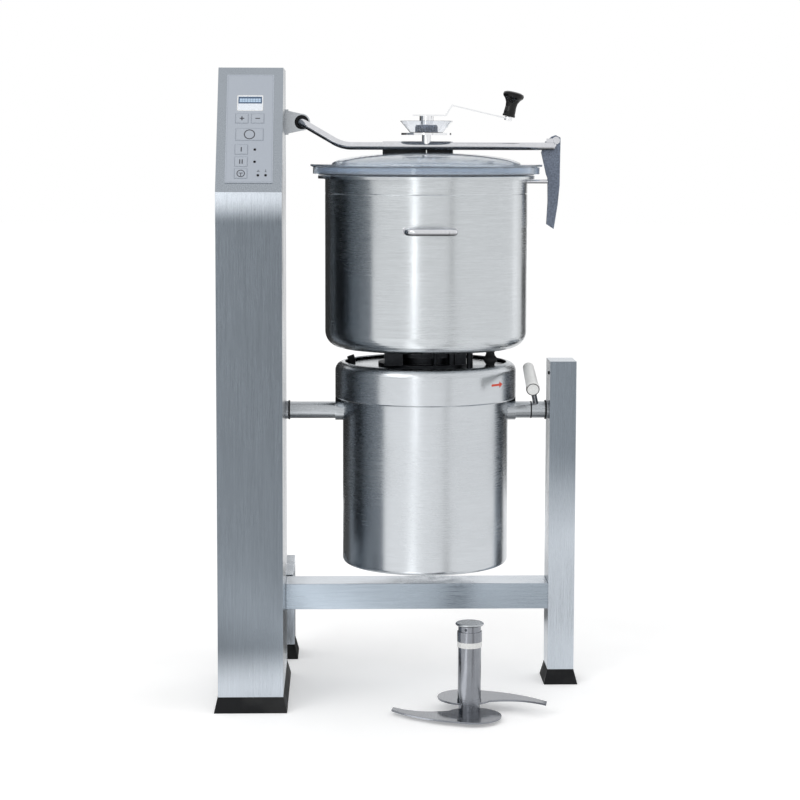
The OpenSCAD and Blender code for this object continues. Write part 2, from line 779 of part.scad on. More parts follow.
module control_panel() color("gainsboro") difference() {
    on_slope(0, panel_foot + panel_l / 2) plate(panel_w, panel_l, panel_t);
    on_slope(0, row(display_row_share)) translate([0, 0, -cut])
        plate(display_w, display_h, panel_t + 2 * cut);
    for (k = KEYS) on_slope(k[0], k[1]) translate([0, 0, -cut])
        plate(k[2] + 2 * gap, k[3] + 2 * gap, panel_t + 2 * cut);
    for (p = lamp_places) on_slope(p.x, p.y) translate([0, 0, -cut])
        cylinder(r = lamp_r + gap, h = panel_t + 2 * cut);
}
module display() color("lightblue") on_slope(0, row(display_row_share)) {
    translate([0, 0, board_top]) plate(display_w - gap, display_h - gap, panel_t - glass_recess - board_top);
}
module key(k) color("whitesmoke") on_slope(k[0], k[1]) {
    translate([0, 0, rim_back]) plate(k[2] + 2 * key_rim, k[3] + 2 * key_rim, key_rim_t);
    translate([0, 0, rim_back]) plate(k[2], k[3], panel_t + key_proud - rim_back);
    translate([0, 0, rim_back - plunger_l]) cylinder(r = plunger_r, h = plunger_l);
}
module plus_key() key(KEYS[1]);
module minus_key() key(KEYS[0]);
module stop_key() key(KEYS[2]);
module speed_one_key() key(KEYS[3]);
module speed_two_key() key(KEYS[4]);
module pulse_key() key(KEYS[5]);
module control_board() color("seagreen") {
    on_slope(0, panel_foot + panel_l / 2) translate([0, 0, board_top - board_t])
        plate(panel_w - 2 * board_edge, panel_l - 2 * board_edge, board_t);
    for (k = KEYS) on_slope(k[0], k[1]) translate([0, 0, board_top])
        plate(switch_side, switch_side, switch_h);
    for (p = lamp_places) on_slope(p.x, p.y) translate([0, 0, board_top])
        cylinder(r = lamp_r, h = panel_t + lamp_proud - board_top);
    for (sx = [-1, 1], sy = [-1, 1]) on_slope(sx * (panel_w / 2 - window_edge / 2),
        panel_foot + panel_l / 2 + sy * (panel_l / 2 - window_edge / 2))
        translate([0, 0, board_top]) cylinder(r = standoff_r, h = -sheet_t - board_top);
}
module contactors() color("darkslategray") translate([-side_x + sheet_t, 0, rack_z]) {
    translate([0, -rack_w / 2, 0]) cube([rack_t, rack_w, rack_l]);
    pitch = contactor_w + contactor_gap;
    for (i = [-1 : 1]) translate([rack_t, i * pitch - contactor_w / 2, rack_l / 2])
        cube([contactor_d, contactor_w, contactor_h]);
    translate([rack_t, -transformer_w / 2, contactor_gap])
        cube([transformer_d, transformer_w, transformer_h]);
}

// Bracket, lid arm and lock
module arm_bracket() color("silver") difference() {
    translate([0, (bracket_front_y + bracket_back_y) / 2, 0]) profile_y(bracket_l) union() {
        translate([side_x, pivot_z - bracket_plate_h / 2]) square([bracket_plate_t, bracket_plate_h]);
        polygon([[side_x + bracket_plate_t, pivot_z - bracket_plate_h / 2 + nose_wall],
            [pivot_x, pivot_z - bush_r - nose_wall], [pivot_x, pivot_z + bush_r + nose_wall],
            [side_x + bracket_plate_t, pivot_z + bracket_plate_h / 2 - nose_wall]]);
        translate([pivot_x, pivot_z]) circle(bush_r + nose_wall);
    }
    translate([pivot_x, bracket_front_y - cut, pivot_z]) along_y()
        cylinder(r = bush_r, h = bracket_l + 2 * cut);
    for (p = bracket_bolt_places()) translate([side_x - cut, p.x, p.y]) along_x()
        cylinder(r = bolt_r, h = bolt_reach + cut);
}
module pivot_bush() color("black") translate([pivot_x, bracket_front_y - bush_proud, pivot_z]) along_y()
    ring(bush_r, arm_r + running, bracket_l + 2 * bush_proud);
module lid_arm() color("silver") difference() {
    union() {
        keeper_y = bracket_back_y + bush_proud + gap;
        bent_rod([[pivot_x, keeper_y + keeper_t, pivot_z], [pivot_x, axis_y, pivot_z],
            [arm_corner_x, axis_y, arm_z], [arm_tip_x - arm_tip_edge, axis_y, arm_z]],
            [elbow_r, arm_bend_r], arm_r);
        translate([arm_tip_x - arm_tip_edge, axis_y, arm_z]) along_x()
            cylinder(r1 = arm_r, r2 = arm_r - arm_tip_edge, h = arm_tip_edge);
        translate([pivot_x, keeper_y, pivot_z]) along_y() cylinder(r = keeper_r, h = keeper_t);
        translate([0, lug_back_y - lug_t / 2, 0]) profile_y(lug_t) {
            translate([lock_pin_x, lock_pin_z]) circle(lug_r);
            translate([lock_pin_x - lug_l, arm_z]) square([lug_l, lock_up + lug_r / 2]);
        }
    }
    translate([bowl_x, axis_y, arm_z - arm_r - cut]) cylinder(r = tube_hole_r, h = 2 * arm_r + 2 * cut);
    translate([lock_pin_x, lug_back_y - lug_t - cut, lock_pin_z]) along_y()
        cylinder(r = lock_pin_r, h = lug_t + 2 * cut);
}
module lock_pin() color("gainsboro") translate([lock_pin_x, 0, lock_pin_z]) {
    translate([0, lug_back_y - lug_t - lock_head_t, 0]) along_y() cylinder(r = lock_head_r, h = lock_head_t);
    translate([0, lug_back_y - lug_t, 0]) along_y() cylinder(r = lock_pin_r, h = lug_t + lock_t + 2 * gap);
    translate([0, lock_y + lock_t + gap, 0]) along_y() cylinder(r = lock_head_r, h = lock_head_t);
}
module lock_lever() color("slategray") translate([lock_pin_x, 0, lock_pin_z]) difference() {
    union() {
        translate([0, lock_y + lock_t / 2, 0]) profile_y(lock_t)
            polygon([for (s = lock_outline_shares) [s.x * lock_w, s.y * lock_l]]);
        translate([stop_at_shares.x * lock_w, lock_y - lock_head_t, stop_at_shares.y * lock_l]) along_y()
            cylinder(r = stop_r, h = lock_head_t + cut);
    }
    translate([0, lock_y - cut, 0]) along_y() cylinder(r = lock_pin_r + running, h = lock_t + 2 * cut);
}
module arm_sleeve() color("silver") difference() {
    translate([bowl_x - sleeve_left, axis_y, arm_z]) along_x()
        ring(sleeve_r, arm_r, sleeve_left + sleeve_right);
    translate([bowl_x, axis_y, arm_z - sleeve_r - cut])
        cylinder(r = tube_hole_r, h = 2 * sleeve_r + 2 * cut);
}
// Outline of the dome from its top to its edge, for a dome of radius r on a flat at height z
function dome_arc(r, z) = [for (i = [0 : dome_steps]) let (a = 90 * i / dome_steps)
    [r * sin(a), z + dome_rise * cos(a)]];
function beyond_hole(points) = [for (p = points) if (p.x > tube_hole_r) p];
module dome_solid() rotate_extrude() polygon(concat(dome_arc(dome_r, lid_rim_z), [[0, lid_rim_z]]));
module lid_pad() color("black") difference() {
    translate([bowl_x - sleeve_left, axis_y - sleeve_r, lid_rim_z])
        cube([sleeve_left + sleeve_right, 2 * sleeve_r, arm_z - lid_rim_z]);
    translate([bowl_x - sleeve_left - cut, axis_y, arm_z]) along_x()
        cylinder(r = sleeve_r, h = sleeve_left + sleeve_right + 2 * cut);
    at_bowl() dome_solid();
    at_bowl() translate([0, 0, lid_rim_z]) cylinder(r = tube_hole_r, h = arm_z);
}
module lid() color("aliceblue") at_bowl() rotate_extrude() polygon(concat(
    [[tube_hole_r, dome_top_z]], beyond_hole(dome_arc(dome_r, lid_rim_z)),
    [[lid_r, lid_rim_z], [lid_r, lid_rim_z - rim_lip],
        [lid_r - rim_step, lid_rim_z - rim_lip - rim_step / 2], [lid_r - rim_step, lid_rim_z - skirt_drop],
        [lid_r - rim_step - skirt_t, lid_rim_z - skirt_drop],
        [lid_r - rim_step - skirt_t, lid_rim_z - lid_t], [rib_r + rib_w, lid_rim_z - lid_t],
        [rib_r + rib_w, lid_rim_z - rib_drop], [rib_r, lid_rim_z - rib_drop], [rib_r, lid_rim_z - lid_t]],
    reverse(beyond_hole(dome_arc(dome_r - lid_t, lid_rim_z - lid_t))), [[tube_hole_r, dome_inner_z]]));
module lid_seal() color("dimgray") at_bowl() translate([0, 0, rim_z + lid_gap])
    ring(rib_r + seal_inset + seal_w, rib_r + seal_inset, lid_rim_h - rib_drop - lid_gap);
module lid_hub() color("silver") at_bowl() difference() {
    union() {
        difference() {
            translate([0, 0, arm_z]) cylinder(r = hub_boss_r, h = hub_disc_z - arm_z);
            translate([-hub_boss_r - cut, 0, arm_z]) along_x()
                cylinder(r = sleeve_r, h = 2 * hub_boss_r + 2 * cut);
        }
        translate([0, 0, hub_disc_z]) cylinder(r = hub_disc_r, h = hub_disc_t);
        translate([0, 0, low_nut_z - hub_tube_foot])
            cylinder(r = hub_tube_r, h = nut_top_z - low_nut_z + hub_tube_foot);
    }
    translate([0, 0, low_nut_z - hub_tube_foot - cut])
        cylinder(r = wiper_shaft_r + running, h = nut_top_z - low_nut_z + 2 * cut + hub_tube_foot);
}
module lid_cup() color("azure") at_bowl() rotate_extrude() polygon([
    [tube_hole_r, cup_z], [cup_foot_r, cup_z], [cup_r, cup_z + cup_h], [cup_r - cup_t, cup_z + cup_h],
    [cup_foot_r - cup_t / 2, cup_z + cup_t], [tube_hole_r, cup_z + cup_t]]);
module hub_nuts() color("lightslategray") at_bowl() {
    difference() {
        translate([0, 0, cup_z + cup_t]) union() {
            cylinder(r = nut_r, h = nut_h);
            for (i = [0 : nut_ribs - 1]) rotate(i * 360 / nut_ribs) translate([nut_r, 0, 0])
                cylinder(r = nut_rib_r, h = nut_h - 2 * nut_rib_r, $fn = 24);
        }
        translate([0, 0, cup_z]) cylinder(r = hub_tube_r, h = nut_h + 2 * cut + cup_t);
    }
    translate([0, 0, low_nut_z]) difference() {
        cylinder(r = low_nut_r, h = low_nut_h, $fn = 6);
        translate([0, 0, -cut]) cylinder(r = hub_tube_r, h = low_nut_h + 2 * cut);
    }
}

// Crank, knob and wiper
module crank_bar() profile_y(crank_bar_w) polygon([
    [-crank_tail, crank_z], [crank_step_in, crank_z], [crank_step_out, crank_z + crank_step_up],
    [crank_r + crank_end_pad, crank_end_z - crank_end_pad * tan(knob_lean)],
    [crank_r + crank_end_pad, crank_end_z - crank_end_pad * tan(knob_lean) + crank_bar_t],
    [crank_step_out - crank_bar_t / 2, crank_z + crank_step_up + crank_bar_t * bar_knee_share],
    [crank_step_in - crank_bar_t, crank_z + crank_bar_t], [-crank_tail, crank_z + crank_bar_t]]);
module on_knob_axis() translate([crank_r, 0, crank_end_z + crank_bar_t]) rotate([0, knob_lean, 0])
    children();
module crank() color("gainsboro") at_bowl() {
    translate([0, 0, low_nut_z - wiper_hub_h])
        cylinder(r = wiper_shaft_r, h = crank_z - low_nut_z + wiper_hub_h + cut);
    translate([0, 0, nut_top_z + gap]) cylinder(r = crank_collar_r, h = crank_collar_h);
    crank_bar();
    on_knob_axis() translate([0, 0, -2 * spindle_washer_t]) {
        cylinder(r = spindle_pin_r, h = 2 * spindle_washer_t + knob_l * spindle_share);
        cylinder(r = spindle_washer_r, h = 3 * spindle_washer_t - gap);
    }
}
module knob() color("black") at_bowl() on_knob_axis() translate([0, 0, spindle_washer_t]) difference() {
    rotate_extrude() polygon([for (s = knob_outline_shares) [s.x * knob_r, s.y * knob_l]]);
    translate([0, 0, -cut]) cylinder(r = spindle_pin_r + running, h = knob_l * spindle_share + cut);
}
module wiper() color("whitesmoke") at_bowl() {
    wiper_low_z = lid_rim_z - wiper_rise;
    difference() {
        translate([0, 0, wiper_low_z])
            cylinder(r = wiper_hub_r, h = wiper_top_z - hub_tube_foot - wiper_low_z);
        translate([0, 0, wiper_low_z - cut]) cylinder(r = wiper_shaft_r, h = wiper_hub_h * 2);
    }
    for (turn = [0, 180]) rotate(turn) profile_y(wiper_t) polygon(concat(
        [[wiper_hub_r - cut, wiper_low_z], [wiper_reach, wiper_low_z]],
        [for (i = [wiper_steps : -1 : 0]) let (r = wiper_in_r + (wiper_reach - wiper_in_r) * i / wiper_steps)
            [r, dome_z(r, lid_rim_z - lid_t, dome_r - lid_t) - wiper_ease]],
        [[wiper_in_r, wiper_low_z + wiper_rise], [wiper_hub_r - cut, wiper_low_z + wiper_rise]]));
}

// Bowl
module bowl() color("silver") at_bowl() rotate_extrude() polygon(concat(
    [[spigot_bore_r, bowl_bottom_z]],
    arc(bowl_r - bowl_corner_r, bowl_bottom_z + bowl_corner_r, bowl_corner_r, bowl_corner_r, -90, 0),
    bead(bowl_r),
    [[bowl_r, rim_z - flange_t], [rim_r - flange_lip_t, rim_z - flange_t],
        [rim_r - flange_lip_t, rim_z - flange_lip], [rim_r, rim_z - flange_lip],
        [rim_r, rim_z - flange_t / 3], [rim_r - flange_t / 3, rim_z], [bowl_r - bowl_t, rim_z]],
    reverse(bead(bowl_r - bowl_t)),
    arc(bowl_r - bowl_corner_r, bowl_bottom_z + bowl_corner_r, bowl_corner_r - bowl_t,
        bowl_corner_r - bowl_floor_t, 0, -90),
    [[spigot_r, bowl_bottom_z + bowl_floor_t], [spigot_r, spigot_top_z - bowl_t],
        [spigot_r - bowl_t, spigot_top_z], [spigot_bore_r, spigot_top_z]]));
function bead(r) = [[r, rim_z - bead_drop - bead_h / 2], [r - bead_depth, rim_z - bead_drop],
    [r, rim_z - bead_drop + bead_h / 2]];
module outside_bowl() at_bowl() cylinder(r = bowl_r, h = rim_z + cut);
module bowl_handles() color("gainsboro") difference() {
    for (turn = [0, 180]) at_bowl() rotate(turn) translate([0, 0, bowl_bottom_z + handle_up])
        bent_rod([[-handle_l / 2, -bowl_r + root_in + handle_r, 0], [-handle_l / 2, -bowl_r - handle_out, 0],
            [handle_l / 2, -bowl_r - handle_out, 0], [handle_l / 2, -bowl_r + root_in + handle_r, 0]],
            [handle_bend_r, handle_bend_r], handle_r);
    outside_bowl();
}
module lid_catch() color("gray") difference() {
    root_x = bowl_x + bowl_r - root_in;
    front_leg_y = axis_y - catch_w / 2;
    back_leg_y = axis_y + catch_w / 2;
    bent_rod([[root_x, front_leg_y, catch_z], [catch_x, front_leg_y, catch_z],
        [catch_x, back_leg_y, catch_z], [root_x, back_leg_y, catch_z]],
        [catch_bend_r, catch_bend_r], catch_r);
    outside_bowl();
}

// Motor unit
module motor_deck() color("gainsboro") at_bowl() translate([0, 0, deck_z]) ring(can_r, seal_r, deck_t);
module shaft_seal() color("black") at_bowl() translate([0, 0, deck_z])
    ring(seal_r, spindle_r + spindle_step + running, deck_t + seal_proud);
module bowl_clamp() color("dimgray") at_bowl() translate([0, 0, deck_top_z]) {
    ring(clamp_base_r, clamp_bore_r, clamp_base_h);
    translate([0, 0, clamp_base_h]) ring(clamp_neck_r, clamp_bore_r, clamp_space - clamp_base_h);
    translate([0, 0, clamp_space * clamp_lug_share]) ring(clamp_lug_r, clamp_neck_r - cut, clamp_lug_h);
    latch_h = clamp_space - clamp_base_h - latch_top_gap;
    difference() {
        translate([latch_x[0], latch_y[0], clamp_base_h])
            cube([latch_x[1] - latch_x[0], latch_y[1] - latch_y[0], latch_h]);
        cylinder(r = clamp_lug_r, h = clamp_space);
    }
    for (i = [0 : len(pin_rs) - 1]) translate([pin_places[i].x, pin_places[i].y, clamp_base_h])
        cylinder(r = pin_rs[i], h = clamp_space - clamp_base_h);
    translate([strut_x[0], strut_y[0], clamp_base_h])
        cube([strut_x[1] - strut_x[0], strut_y[1] - strut_y[0], latch_h]);
    translate([strut_post_x, strut_y[0], 0]) cylinder(r = strut_post_r, h = clamp_space);
}
module bowl_rests() color("black") at_bowl() {
    for (turn = bumper_turns) rotate(turn) translate([bumper_at_r, 0, deck_top_z]) rotate_extrude()
        polygon([for (s = bumper_outline_shares) [s.x * bumper_r, s.y * clamp_space]]);
    translate([-claw_r, 0, deck_top_z]) profile_y(claw_w) polygon([
        [-claw_l / 4, 0], [claw_l / 2, 0], [claw_l / 2, claw_h / 3],
        [claw_l / 3, claw_h], [-claw_l / 2, claw_h * 3 / 4], [-claw_l / 4, claw_h / 2]]);
}
module motor_band() color("silver") at_bowl() rotate_extrude() polygon(concat(
    [[can_r, band_bottom_z], [band_r - band_roll, band_bottom_z], [band_r, band_bottom_z + band_roll]],
    arc(band_r - band_shoulder_r, band_top_z - band_shoulder_r, band_shoulder_r, band_shoulder_r, 0, 90),
    [[band_mouth_r, band_top_z], [band_mouth_r, band_top_z - shell_t]],
    arc(band_r - band_shoulder_r, band_top_z - band_shoulder_r, band_shoulder_r - shell_t,
        band_shoulder_r - shell_t, 90, 0),
    [[band_r - shell_t, band_bottom_z + shell_t + band_roll / 2],
        [can_r, band_bottom_z + shell_t + band_roll / 2]]));
module motor_can() color("silver") at_bowl() rotate_extrude() polygon(concat(
    [[0, can_bottom_z]],
    arc(can_r - can_corner_r, can_bottom_z + can_corner_r, can_corner_r, can_corner_r, -90, 0),
    [[can_r, deck_z], [can_r - shell_t, deck_z]],
    arc(can_r - can_corner_r, can_bottom_z + can_corner_r, can_corner_r - shell_t, can_corner_r - shell_t,
        0, -90),
    [[0, can_bottom_z + shell_t]]));
module outside_can() at_bowl() cylinder(r = can_r, h = post_top_z);
module trunnion_tubes() color("silver") difference() {
    translate([0, axis_y, trunnion_z]) {
        translate([left_end_x, 0, 0]) along_x() cylinder(r = trunnion_r, h = bowl_x - left_end_x);
        translate([bowl_x, 0, 0]) along_x() cylinder(r = trunnion_r, h = right_end_x - bowl_x);
        translate([bowl_x - can_r - boss_l, 0, 0]) along_x() cylinder(r = boss_r, h = 2 * (can_r + boss_l));
    }
    outside_can();
    translate([left_end_x - cut, axis_y, trunnion_z]) along_x()
        cylinder(r = trunnion_r - trunnion_wall, h = right_end_x - left_end_x + 2 * cut);
}
module trunnion_seals() color("black") {
    // Gussets between the tubes and the band above them
    difference() {
        for (side = [-1, 1]) translate([bowl_x + side * (band_r - wedge_l / 2), axis_y, trunnion_z])
            profile_y(wedge_w) polygon([[-wedge_l / 2, 0], [wedge_l / 2, 0],
                [wedge_l / 2, band_bottom_z - trunnion_z], [-wedge_l / 2, band_bottom_z - trunnion_z]]);
        translate([left_end_x, axis_y, trunnion_z]) along_x()
            cylinder(r = boss_r, h = right_end_x - left_end_x);
    }
    translate([tube_ring_x, axis_y, trunnion_z]) along_x()
        ring(trunnion_r + tube_ring_proud, trunnion_r, tube_ring_l);
}
module tilt_lever() color("gainsboro") difference() {
    bent_rod([[lever_root_x, axis_y, trunnion_z], lever_elbow,
        grip_back + grip_way * (grip_l - grip_ring_t)], [lever_bend_r], lever_rod_r);
    translate([left_end_x, axis_y, trunnion_z]) along_x()
        cylinder(r = trunnion_r, h = right_end_x - left_end_x);
}
module along_grip() {
    x = [1, 0, 0];
    y = cross(grip_way, x);
    multmatrix([[x.x, y.x, grip_way.x, grip_back.x], [x.y, y.y, grip_way.y, grip_back.y],
        [x.z, y.z, grip_way.z, grip_back.z]]) children();
}
module tilt_grip() color("whitesmoke") along_grip() difference() {
    union() {
        cylinder(r1 = grip_back_r, r2 = grip_r, h = grip_l);
        translate([0, 0, grip_l - 2 * grip_ring_t]) cylinder(r = grip_r + grip_ring_proud, h = grip_ring_t);
    }
    translate([0, 0, -cut]) cylinder(r = lever_rod_r, h = grip_l - grip_ring_t + cut);
}
module stator() color("peru") at_bowl() {
    frame_z = low_shield_z + shield_t;
    translate([0, 0, frame_z]) ring(stator_r + frame_wall, stator_r, top_shield_z - frame_z);
    translate([0, 0, stator_z]) ring(stator_r, rotor_r + gap, stator_h);
    for (z = [stator_z - winding_h, stator_z + stator_h]) translate([0, 0, z])
        ring(stator_r * winding_out_share, stator_r * winding_in_share, winding_h);
}
module end_shields() color("slategray") at_bowl() {
    for (z = [low_shield_z, top_shield_z]) translate([0, 0, z])
        ring(stator_r + frame_wall, bearing_r, shield_t);
    for (i = [0 : 3]) rotate(45 + 90 * i) translate([stator_r * pillar_share, 0, top_shield_z + shield_t])
        cylinder(r = pillar_r, h = deck_z - top_shield_z - shield_t);
}
module motor_bearings() color("gainsboro") at_bowl()
    for (z = [low_shield_z, top_shield_z]) translate([0, 0, z]) ring(bearing_r, shaft_r + running, shield_t);
module rotor() color("gray") at_bowl() {
    translate([0, 0, stator_z]) ring(rotor_r, shaft_r, stator_h);
    for (z = [stator_z - end_ring_h, stator_z + stator_h]) translate([0, 0, z])
        ring(rotor_r * end_ring_out_share, rotor_r * end_ring_in_share, end_ring_h);
    translate([0, 0, low_shield_z - fan_drop - fan_h]) {
        ring(fan_hub_r, shaft_r, fan_h);
        ring(fan_r, fan_hub_r - cut, fan_plate_t);
        for (i = [0 : fan_vanes - 1]) rotate(i * 360 / fan_vanes)
            translate([fan_hub_r - cut, -fan_plate_t / 2, 0]) cube([fan_r - fan_hub_r, fan_plate_t, fan_h]);
    }
}
module drive_shaft() color("silver") at_bowl() {
    foot_z = low_shield_z - fan_drop - fan_h - shaft_foot / 2;
    translate([0, 0, foot_z]) cylinder(r = shaft_r, h = shaft_step_z - foot_z);
    translate([0, 0, shaft_step_z]) cylinder(r = spindle_r + spindle_step, h = spigot_top_z - shaft_step_z);
    translate([0, 0, spigot_top_z]) cylinder(r = spindle_r, h = spindle_proud);
}

// Loose blade set
module at_blades() translate([blade_x, blade_y, 0]) children();
module blade_hub() color("lightslategray") at_blades() difference() {
    step_z = upper_blade_z + blade_t;
    rotate_extrude() polygon([[0, 0], [hub_r, 0], [hub_r, hub_lip], [lower_hub_r, 2 * hub_lip],
        [lower_hub_r, step_z], [hub_r + hub_lip, step_z], [hub_r + hub_lip, step_z + hub_step_h],
        [hub_r, step_z + hub_step_h],
        [hub_r, ring_z], [ring_r_in, ring_z], [ring_r_in, ring_z + ring_h], [head_r, ring_z + ring_h],
        [head_r, hub_top - neck_h], [neck_r, hub_top - neck_h], [neck_r, hub_top], [0, hub_top]]);
    translate([0, 0, -cut]) cylinder(r = spigot_r + hub_bore_ease, h = wide_bore_h + cut);
    cylinder(r = spindle_r + running, h = wide_bore_h + spindle_proud - hub_bore_ease);
    rotate(-neck_hole_turn) translate([0, -neck_r + neck_hole_depth, hub_top - neck_h / 2])
        rotate([90, 0, 0]) cylinder(r = neck_hole_r, h = neck_hole_depth + cut);
}
module blade_cap() color("silver") at_blades() translate([0, 0, hub_top]) {
    cylinder(r1 = cap_r - cap_edge, r2 = cap_r, h = cap_edge);
    translate([0, 0, cap_edge]) cylinder(r = cap_r, h = cap_t - 2 * cap_edge);
    translate([0, 0, cap_t - cap_edge]) cylinder(r1 = cap_r, r2 = cap_r - cap_edge, h = cap_edge);
}
module blade_ring() color("white") at_blades() translate([0, 0, ring_z]) ring(head_r, ring_r_in, ring_h);
module blade() difference() {
    union() {
        translate(root_at_shares * blade_reach) cylinder(r = blade_root_r, h = blade_t);
        linear_extrude(blade_t) polygon(concat(
            [for (i = [0 : blade_steps]) bezier(outer_edge_shares, i / blade_steps) * blade_reach],
            [for (i = [0 : blade_steps]) bezier(inner_edge_shares, i / blade_steps) * blade_reach]));
    }
    translate([0, 0, -cut]) cylinder(r = lower_hub_r, h = blade_t + 2 * cut);
}
module upper_blade() color("lightslategray") at_blades() translate([0, 0, upper_blade_z]) blade();
module lower_blade() color("lightslategray") at_blades() translate([0, 0, lower_blade_z]) rotate(180)
    blade();

column_shell();
rear_cover();
column_foot();
post();
cross_beam();
rear_beam();
rear_leg();
tube_feet();
frame_fasteners();
trunnion_bearings();
trunnion_rings();
control_panel();
display();
control_board();
contactors();
cable_gland();
arm_bracket();
pivot_bush();
plus_key();
minus_key();
stop_key();
speed_one_key();
speed_two_key();
pulse_key();
lid_arm();
arm_sleeve();
lid_pad();
lid();
lid_seal();
lid_cup();
lid_hub();
hub_nuts();
lock_pin();
crank();
wiper();
knob();
lock_lever();
bowl();
bowl_handles();
lid_catch();
motor_deck();
bowl_clamp();
bowl_rests();
motor_band();
motor_can();
trunnion_tubes();
trunnion_seals();
tilt_lever();
tilt_grip();
stator();
end_shields();
motor_bearings();
shaft_seal();
rotor();
drive_shaft();
blade_hub();
blade_cap();
blade_ring();
upper_blade();
lower_blade();
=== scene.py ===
"""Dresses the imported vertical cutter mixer: brushed steel, a clear lid, rubber feet, a printed panel,
and the plain studio that it stands in. Lengths are in metres, in the frame of the construction model."""

import json
import math

import bpy
from bpy.props import FloatProperty, FloatVectorProperty, IntProperty, PointerProperty
from mathutils import Matrix, Vector


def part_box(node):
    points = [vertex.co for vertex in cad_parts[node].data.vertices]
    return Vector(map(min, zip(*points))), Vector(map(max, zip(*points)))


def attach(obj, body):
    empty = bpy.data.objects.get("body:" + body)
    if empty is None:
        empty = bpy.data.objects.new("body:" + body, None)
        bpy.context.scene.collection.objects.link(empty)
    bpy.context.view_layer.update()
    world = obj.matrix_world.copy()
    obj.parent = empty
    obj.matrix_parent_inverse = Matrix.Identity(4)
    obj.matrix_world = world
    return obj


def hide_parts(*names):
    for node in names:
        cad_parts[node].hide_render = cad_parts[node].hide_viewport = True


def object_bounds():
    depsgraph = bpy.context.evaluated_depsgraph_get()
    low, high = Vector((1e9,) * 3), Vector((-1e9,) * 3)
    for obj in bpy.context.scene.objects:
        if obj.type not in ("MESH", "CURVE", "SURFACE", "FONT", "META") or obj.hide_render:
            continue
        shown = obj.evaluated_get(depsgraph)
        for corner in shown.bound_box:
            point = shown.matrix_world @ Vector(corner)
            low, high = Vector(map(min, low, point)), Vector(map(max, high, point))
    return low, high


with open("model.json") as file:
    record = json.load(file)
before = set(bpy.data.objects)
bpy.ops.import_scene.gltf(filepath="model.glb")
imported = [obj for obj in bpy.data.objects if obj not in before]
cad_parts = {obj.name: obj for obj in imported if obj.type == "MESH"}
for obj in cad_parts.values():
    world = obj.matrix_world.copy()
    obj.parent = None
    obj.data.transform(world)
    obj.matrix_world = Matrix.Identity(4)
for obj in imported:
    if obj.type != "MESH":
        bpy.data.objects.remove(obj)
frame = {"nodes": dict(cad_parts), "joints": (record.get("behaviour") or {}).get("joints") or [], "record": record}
CAD_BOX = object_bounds()

bl_info = {
    "name": "Vertical cutter mixer",
    "version": (1, 0, 0),
    "blender": (4, 5, 0),
    "location": "View3D > Sidebar > Mixer",
    "description": "Finishes a floor-standing cutter mixer and sets it in a plain studio",
    "category": "Object",
}

MM = 0.001
SLOTS = {row["node"]: row["material_slot"] for row in frame["record"]["subparts"]}
JOINTS = {joint["name"]: joint for joint in frame["joints"]}
BODIES = {node: body for body, nodes in frame["record"]["behaviour"]["bodies"].items() for node in nodes}


def linear(red, green, blue):
    """A screen colour, 0 to 255, as the linear colour that a shader takes."""
    shares = (level / 255 for level in (red, green, blue))
    return tuple(s / 12.92 if s <= 0.04045 else ((s + 0.055) / 1.055) ** 2.4 for s in shares)


def colour(name, description, *screen):
    """A colour that a user may change."""
    return FloatVectorProperty(
        name=name, description=description, subtype="COLOR", size=3, min=0, max=1, default=linear(*screen)
    )


def length(name, description, millimetres):
    """A length that a user may change."""
    return FloatProperty(
        name=name, description=description, subtype="DISTANCE", unit="LENGTH", min=0,
        default=millimetres * MM
    )


def row_share(name, share):
    """The height of a row on the control panel, which a user may change."""
    return FloatProperty(name=name, description="Share of the plate's length", default=share)


class MixerFinish(bpy.types.PropertyGroup):
    """Colours of the finishes. The brushed steels' tints are partly their own and partly painted light and shade.
    """

    # Partly painted light and shade: the column and post are darker, shaded copies of one brushed steel, and the
    # beams, bowl and motor are lighter, lit copies.
    column: colour("Column", "Brushed sheet of the column", 110, 117, 124)
    post: colour("Post", "Brushed tube of the post and the rear leg", 124, 132, 140)
    beam: colour("Beams", "Brushed tube of the beams", 158, 168, 178)
    lit_steel: colour("Lit sheet", "Sheet where it faces up or stands near the pale floor", 204, 211, 219)
    bowl: colour("Bowl", "Brushed bowl", 194, 198, 201)
    motor: colour("Motor unit", "Brushed motor can and band", 196, 200, 204)
    rod: colour("Rods", "Polished rods, sleeves and handles", 212, 213, 217)
    machined: colour("Machined steel", "Turned and milled pieces", 176, 180, 184)
    blade: colour("Blades", "Ground blades and their hub", 136, 139, 145)
    cast: colour("Cast metal", "Cast lock lever", 108, 116, 130)
    rubber: colour("Rubber", "Feet, pads and seals", 26, 27, 29)
    lid: colour("Clear plastic", "Tint of the lid", 226, 236, 247)
    film: colour("Panel", "Plate of the control panel", 168, 175, 185)
    ink: colour("Ink", "Marks on the keys", 54, 56, 64)
    arrow: colour("Arrow", "Arrow that shows which way the motor turns", 214, 66, 40)


class MixerEdges(bpy.types.PropertyGroup):
    """Sizes of the rounded edges."""

    sheet: length("Folded sheet", "Radius of the folded edges of sheet", 0.8)
    tube: length("Tube", "Radius of the corners of square tube", 2.0)
    rubber: length("Rubber", "Radius of the edges of rubber", 2.2)
    cast: length("Cast", "Radius of the edges of cast metal", 2.4)
    machined: length("Machined", "Radius of the edges of machined pieces", 0.7)
    key: length("Keys", "Radius of the edges of the keys and the panel", 0.45)
    steps: IntProperty(name="Steps", description="Faces round a rounded edge", min=1, max=6, default=3)


